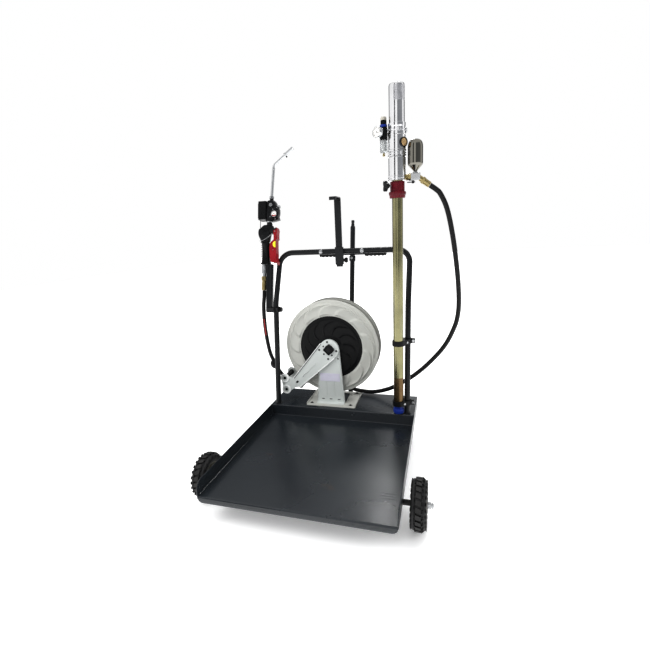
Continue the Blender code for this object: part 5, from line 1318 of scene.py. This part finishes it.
def gun():
    body = Kit()
    grip = mm((-21.5, 0.8), (-5, 0.4), (21, 0.8), (21.6, 5), (19.6, 11), (18.4, 35), (18, 60),
              (18.4, 85), (19, 99), (12, 106), (-8, 108), (-20, 106), (-18, 80), (-17.2, 50),
              (-18.6, 20), (-20.5, 8))
    cushion_prism(body, PLASTIC, smooth_outline(wound(grip), 4), 0.0148, 0.0065)
    for k in range(9):
        z = 0.018 + 0.0088 * k
        ring = [(-0.0182 + 0.0003 * math.cos(z * 60), -0.0135, z),
                (-0.0185 + 0.0003 * math.cos(z * 60), 0, z + 0.0012),
                (-0.0182 + 0.0003 * math.cos(z * 60), 0.0135, z)]
        body.tube(PLASTIC, ring, 0.0011, 8)
    body.prism(PLASTIC, round_box(0.0222, 0.015, 0.006, 5), 0.0006, 0.0062, (-0.001, 0, 0))
    body.lathe(SATIN, mm((0, 101), (16.5, 101), (20.5, 103), (21, 106), (19, 108.5), (0, 109)),
               (-0.006, 0, 0), Z, 40)
    head = mm((-20, 107), (15, 104), (23, 127), (27, 150), (35, 164), (39.5, 170), (33.5, 183),
              (12, 186.8), (-8, 186.8), (-24, 176), (-37.2, 164), (-37.6, 140), (-29, 120))
    cushion_prism(body, SATIN, smooth_outline(wound(head), 4), 0.0142, 0.006)
    body.lathe(SATIN, mm((0, -36), (9.8, -36), (11.8, -34.5), (12, -15), (0, -15)),
               (-0.0005, 0, 0.15), X, 32)
    body.lathe(SATIN, mm((0, 14.8), (8.5, 14.8), (9.5, 14.2), (9.5, -14.2), (8.5, -14.8),
                         (0, -14.8)), (-0.014, 0, 0.129), Y, 28)
    rim = [(-0.03 + 0.06 * t, -0.0146 - 0.0004 * math.sin(math.pi * t), 0.1105 + 0.028 * t * t)
           for t in [k / 14 for k in range(15)]]
    body.tube(ZINC, rim, 0.0011, 8)
    for e in (-1, 1):
        body.box(SATIN, (0.026, e * 0.0118 - 0.0026, 0.144), (0.055, e * 0.0118 + 0.0026, 0.168))
    body.rod(ZINC, 0.003, (0.05, -0.018, 0.153), (0.05, 0.018, 0.153), 20, 0.0003)
    body.lathe(SATIN, mm((0, 180), (13.5, 180), (14, 183), (12, 186), (12, 188.5), (13, 189),
                         (13, 195.8), (0, 196)), (0.017, 0, 0), Z, 40)
    body.hex_head(SATIN, 0.0245, (0.017, 0, 0.1852), (0.017, 0, 0.19), turn=0.3)
    cable = fillet(mm((-29, -2, 208.8), (-30, -2, 176), (-18, -2, 162)), [0.012], 8)
    body.tube(PLASTIC, cable, 0.0014, 12)
    body.make("gun_handle", nodes="gun_body", place=GUN, bevel=0.0007)
    lever = mm((44, 154), (47.5, 160), (56, 160.4), (62.2, 158.6), (60.6, 140), (60, 122),
               (62.6, 118.5), (61.2, 115), (57.2, 112), (56.6, 104), (57.2, 80), (58.4, 50),
               (60, 20), (64.8, 9.5), (61, 6.8), (47, 7.2), (35, 8.6), (29, 16), (25.8, 40),
               (24, 70), (24.4, 88), (30, 102), (40, 111), (45, 118))
    trigger = Kit()
    edge = smooth_outline(lever, 4)
    for e in (-1, 1):
        trigger.prism(RED, edge, e * 0.0164 - 0.0008, e * 0.0164 + 0.0008, (0, 0, 0), -Y, X)
    web = smooth_outline(lever[2:15], 4)[:48]
    web = web + [(u - 0.0022, v) for u, v in web[::-1]]
    trigger.prism(RED, web, -0.0164, 0.0164, (0, 0, 0), -Y, X)
    trigger.rod(ZINC, 0.0018, (0.043, -0.0176, 0.066), (0.043, 0.0176, 0.066), 14)
    trigger.make("trigger_blade", "trigger", "gun_trigger", GUN, bevel=0.0006)
    button = Kit()
    half = arc(0.056, 0.092, 0.015, 92, 268, 28)
    button.prism(YELLOW, half, -0.0182, 0.0182, (0, 0, 0), -Y, X)
    button.make("lock_button_cap", "lock_button", "trigger_lock_button", GUN, bevel=0.0008)
    swivel = Kit()
    at = (-0.0085, 0, 0)
    swivel.lathe(ZINC, mm((0, -44), (9.8, -44), (9.8, -42.5), (13, -42.2), (14, -41), (14, -25),
                          (13.2, -24), (13.2, -22.5), (14, -21.5), (14, -9), (13, -8), (11.6, -7.5),
                          (11.6, -0.6), (0, -0.4)), at, Z, 44)
    for o in spokes(8):
        swivel.box(ZINC, tuple(Vector(at) + o * 0.0138 - Vector((0.0006, 0.0006, 0.04))),
                   tuple(Vector(at) + o * 0.0138 + Vector((0.0006, 0.0006, -0.026))))
    swivel.lathe(ZINC, mm((0, -57), (9.6, -57), (9.6, -43.8), (0, -43.6)), at, Z, 36)
    swivel.hex_head(BRASS, 0.0245, (-0.0085, 0, -0.0765), (-0.0085, 0, -0.0575), turn=0.35)
    swivel.lathe(BRASS, mm((0, -86), (10.6, -86), (10.6, -76), (0, -76)), at, Z, 36)
    ribbed = mm((0, -122.9), (11.2, -122.9), (12, -122))
    for k in range(6):
        z = -0.12 + 0.0058 * k
        ribbed += [(0.0122, z), (0.0122, z + 0.004), (0.0117, z + 0.0044), (0.0117, z + 0.0054)]
    ribbed += [(0.012, -0.085), (0, -0.085)]
    swivel.lathe(BRASS, ribbed, at, Z, 40)
    swivel.make("swivel_and_ferrule", "gun_swivel", "gun_hose_swivel", GUN, bevel=0.0004)
    meter = Kit()
    meter.lathe(CHROME, mm((0, 196.5), (14.8, 196.5), (16.2, 197.5), (16.5, 199.8), (16, 202),
                           (14.5, 203), (0, 203)), (0.017, 0, 0), Z, 44)
    meter.prism(PLASTIC, round_box(0.0215, 0.0255, 0.008, 6), 0.2095, 0.295, (-0.012, 0, 0))
    meter.prism(PLASTIC, round_box(0.0016, 0.02, 0.001, 3), 0.218, 0.286, (-0.0335, 0, 0))
    shell = mm((9.5, 203), (64, 206), (66.8, 214), (64, 224), (66.8, 235), (66.8, 258), (60, 266),
               (56, 276), (44, 298.5), (12, 298.5), (9.2, 270))
    cushion_prism(meter, SATIN, smooth_outline(wound(shell), 3), 0.0196, 0.0045)
    meter.lathe(SATIN, mm((14.6, 18), (20.5, 18.5), (21.5, 20), (21, 22.2), (18, 23.2), (15, 22.8)),
                (DIAL_U, 0, DIAL_W), -Y, 48)
    for a in (0.6, 1.9, 3.6, 4.9):
        o = Vector((math.cos(a), 0, math.sin(a))) * 0.0235 + Vector((DIAL_U, 0, DIAL_W))
        o.x = min(o.x, 0.063)
        meter.rod(ZINC, 0.0026, o - Y * 0.017, o - Y * 0.0206, 14, 0.0004)
    meter.box(PLASTIC, (0.002, -0.0118, 0.2042), (0.02, 0.0118, 0.23))
    meter.hex_head(ZINC, 0.016, (0.032, -0.018, 0.276), (0.032, -0.0262, 0.276), 0.0095, 0.3)
    meter.rod(ZINC, 0.0046, (0.032, -0.026, 0.276), (0.032, -0.0268, 0.276), 20)
    meter.hex_head(ZINC, 0.0148, (0.06, 0, 0.269), (0.0695, 0, 0.269), 0.009, 0.3)
    meter.lathe(SATIN, mm((0, 296), (12.5, 296), (12, 299), (9.5, 300), (9, 308.2), (0, 308.4)),
                (0.027, 0, 0), Z, 32)
    meter.make("meter_housing", nodes="flow_meter", place=GUN, bevel=0.0006)
    dial = Kit()
    dial.lathe(CHROME, mm((12.6, 20.5), (14, 20.5), (14.4, 22.5), (14, 25), (12.8, 25.4),
                          (12.4, 24)), (DIAL_U, 0, DIAL_W), -Y, 48)
    dial.lathe(WHITE, mm((0, 20.6), (12.8, 20.6), (12.8, 23.6), (0, 23.6)), (DIAL_U, 0, DIAL_W), -Y,
               48)
    face = frame_of((DIAL_U, -0.0236, DIAL_W), -Y, X)
    turns = [math.radians(-150 + 6 * k) for k in range(21)]
    band, inner = [[(r * math.cos(a), r * math.sin(a)) for a in turns] for r in (0.0122, 0.0072)]
    dial.prism(RED, band + inner[::-1], 0.0, 0.0004, (DIAL_U, -0.0236, DIAL_W), -Y, X)
    for k in range(12):
        mark(dial, face, TAU * k / 12, 0.0098, 0.0118, 0.0003, 0.0004, 0.0007)
    dial.rod(FLAT_BLACK_AND_SHADE, 0.0016, (DIAL_U, -0.0236, DIAL_W), (DIAL_U, -0.0248, DIAL_W), 18, 0.0003)
    dial.tube(FLAT_BLACK_AND_SHADE, [(DIAL_U, -0.0242, DIAL_W), (DIAL_U - 0.0065, -0.0242, DIAL_W + 0.005)], 0.0004,
              8)
    dial.make("meter_dial_face", nodes="meter_dial", place=GUN)
    spout = Kit()
    path = fillet(mm((27, 0, 320), (36.2, 0, 464), (128.9, 0, 535)), [0.03], 14)
    line = []
    for p, q in zip(path, path[1:]):
        line += [p.lerp(q, k / 3) for k in range(3)]
    spout.tube(CHROME, line + [path[-1]], 0.0068, 32)
    spout.hex_head(ZINC, 0.0188, (0.027, 0, 0.309), (0.027, 0, 0.3205), 0.0112, 0.4)
    end = Vector((0.1289, 0, 0.535))
    way = (end - Vector((0.0362, 0, 0.464))).normalized()
    spout.lathe(CHROME, mm((6, -46), (8.2, -46), (8.6, -45), (8.6, -41), (8, -40.4), (8, -39),
                           (8.5, -38.4), (8.5, 2.6), (7.6, 3.8), (4.6, 3.8), (4.4, -6), (4.4, -30)),
                end, way, 40)
    spout.hex_head(CHROME, 0.0185, end - way * 0.047, end - way * 0.0395, turn=0.2)
    down = (Z * -1 - way * (Z * -1).dot(way)).normalized()
    spout.rod(SATIN, 0.0034, end - way * 0.0432 + down * 0.006, end - way * 0.0432 + down * 0.0132,
              20, 0.0006)
    spout.make("spout_pipe", nodes="gun_spout", place=GUN, bevel=0.0004)
    return GUN @ Vector((-0.0085, 0, -0.1239)), GUN.to_3x3() @ -Z


# ---------------------------------------------------------------- hoses
def smooth_route(route, spacing):
    route = [Vector(p) for p in route]
    ends = [route[0] * 2 - route[1]] + route + [route[-1] * 2 - route[-2]]
    fine = []
    for a, b, c, d in zip(ends, ends[1:], ends[2:], ends[3:]):
        for k in range(20):
            t = k / 20
            fine.append(0.5 * (2 * b + (c - a) * t + (2 * a - 5 * b + 4 * c - d) * t * t
                               + (3 * b - a - 3 * c + d) * t ** 3))
    fine.append(route[-1])
    total = sum((q - p).length for p, q in zip(fine, fine[1:]))
    count = max(2, round(total / spacing))
    points, walked, target = [fine[0]], 0.0, total / count
    for p, q in zip(fine, fine[1:]):
        step = (q - p).length
        while step > 0 and walked + step >= target and len(points) < count:
            points.append(p.lerp(q, (target - walked) / step))
            target += total / count
        walked += step
    return points + [fine[-1]]


def hose(name, route, radius, node, exit, stripe=None):
    points = smooth_route(route, 0.0055)
    kit = Kit()
    kit.tube(RUBBER, points, radius, 32)
    if stripe:
        t0, t1 = stripe
        n = len(points)
        part = points[int(t0 * n):int(t1 * n)]
        verts, faces = [], []
        for k, p in enumerate(part):
            way = (part[min(k + 1, len(part) - 1)] - part[max(k - 1, 0)]).normalized()
            out = (Vector((0.25, -0.97, 0)) - way * Vector((0.25, -0.97, 0)).dot(way)).normalized()
            side = way.cross(out)
            for a in (-0.28, -0.14, 0, 0.14, 0.28):
                verts.append(p + (out * math.cos(a) + side * math.sin(a)) * (radius + 0.00025))
            verts.append(p + (out * math.cos(0.3) + side * math.sin(0.3)) * (radius - 0.0006))
            verts.append(p + (out * math.cos(-0.3) + side * math.sin(-0.3)) * (radius - 0.0006))
        for k in range(len(part) - 1):
            for s in range(7):
                m = (s + 1) % 7
                faces.append([k * 7 + s, k * 7 + m, k * 7 + 7 + m, k * 7 + 7 + s])
        faces += [list(range(7)), [(len(part) - 1) * 7 + s for s in range(7)][::-1]]
        kit.add(verts, faces, STRIPE)
    obj = kit.make(name, nodes=node, angle=60)
    tuple(exit)
    [tuple(p) for p in points]


def hoses(feed_start, feed_way, gun_end, gun_way):
    feed = [feed_start, feed_start + feed_way * 0.03, (0.435, 0.123, 1.085), (0.457, 0.129, 1.04),
            (0.4735, 0.137, 0.9811), (0.4899, 0.147, 0.8966), (0.5027, 0.157, 0.81),
            (0.5115, 0.166, 0.7332), (0.5165, 0.176, 0.6549), (0.5145, 0.186, 0.596),
            (0.5021, 0.196, 0.5382), (0.4652, 0.211, 0.4522), (0.4017, 0.233, 0.364),
            (0.3248, 0.254, 0.2841), (0.235, 0.276, 0.217), (0.19, 0.286, 0.193),
            (0.14, 0.296, 0.1755), (0.095, 0.301, 0.1712), (0.03, 0.302, 0.18),
            (-0.025, 0.302, 0.215), (-0.049, 0.302, 0.27), (-0.052, 0.302, 0.33),
            (REEL_X, 0.302, REEL_Z - 0.0523)]
    hose("feed_hose", feed, FEED_R, "pump_outlet_hose", feed_start)
    ball, way = Vector((-0.349, 0.208, 0.3286)), Vector((0.42, 0.02, -0.9)).normalized()
    kit = Kit()
    profile = [(0.025 * math.cos(a), 0.025 * math.sin(a))
               for a in [math.radians(-64 + 8 * k) for k in range(17)]]
    profile += [(HOSE_R + 0.0004, 0.0226), (HOSE_R + 0.0004, -0.0226)]
    kit.lathe(PLASTIC, profile, ball, way, 56)
    kit.lathe(PLASTIC, mm((24.6, -1.2), (25.6, -0.8), (25.6, 0.8), (24.6, 1.2)), ball, way, 56)
    across = way.cross(Y).normalized()
    for e in (-1, 1):
        at = ball + across * (0.015 * e)
        kit.rod(ZINC, 0.0034, at + Y * 0.0195, at + Y * 0.0215, 18, 0.0005)
        kit.rod(ZINC, 0.0034, at - Y * 0.0195, at - Y * 0.0215, 18, 0.0005)
    stop = kit.make("stop_ball_halves", nodes="hose_stop_ball")
    route = [gun_end, gun_end + gun_way * 0.03, (-0.377, 0.187, 0.63), (-0.3785, 0.185, 0.58),
             (-0.3775, 0.185, 0.52), (-0.374, 0.188, 0.46), (-0.369, 0.195, 0.4),
             ball - way * 0.035, ball, ball + way * 0.035, (-0.309, 0.211, 0.264),
             (-0.283, 0.211, 0.247), (-0.25, 0.211, 0.244), (-0.2, 0.211, 0.2445),
             (-0.145, 0.211, 0.245)]
    hose("gun_hose", route, HOSE_R, "delivery_hose", gun_end, (0.22, 0.36))
    union = Kit()
    low = Vector((REEL_X, 0.302, REEL_Z))
    union.prism(BRASS, round_box(0.0195, 0.0195, 0.004, 4), 0.2864, 0.3178, (REEL_X, 0, REEL_Z), Y,
                X)
    union.lathe(BRASS, mm((0, 18), (11.2, 18), (11.5, 20), (11.5, 44), (10.8, 45), (11.5, 45.5),
                          (11.5, 51.5), (10.8, 52), (0, 52)), low, -Z, 36)
    union.hex_head(BRASS, 0.0225, low - Z * 0.024, low - Z * 0.034)
    union.make("inlet_union", nodes="inlet_swivel", bevel=0.0006)


tray()
wheels()
casters()
frame_tube()
tube_clamps()
drum_hook()
gun_holder()
tow_bar()
reel()
reel_stand()
reel_arm()
pump()
feed_end = outlet()
regulator()
gun_port = gun()
hoses(*feed_end, *gun_port)
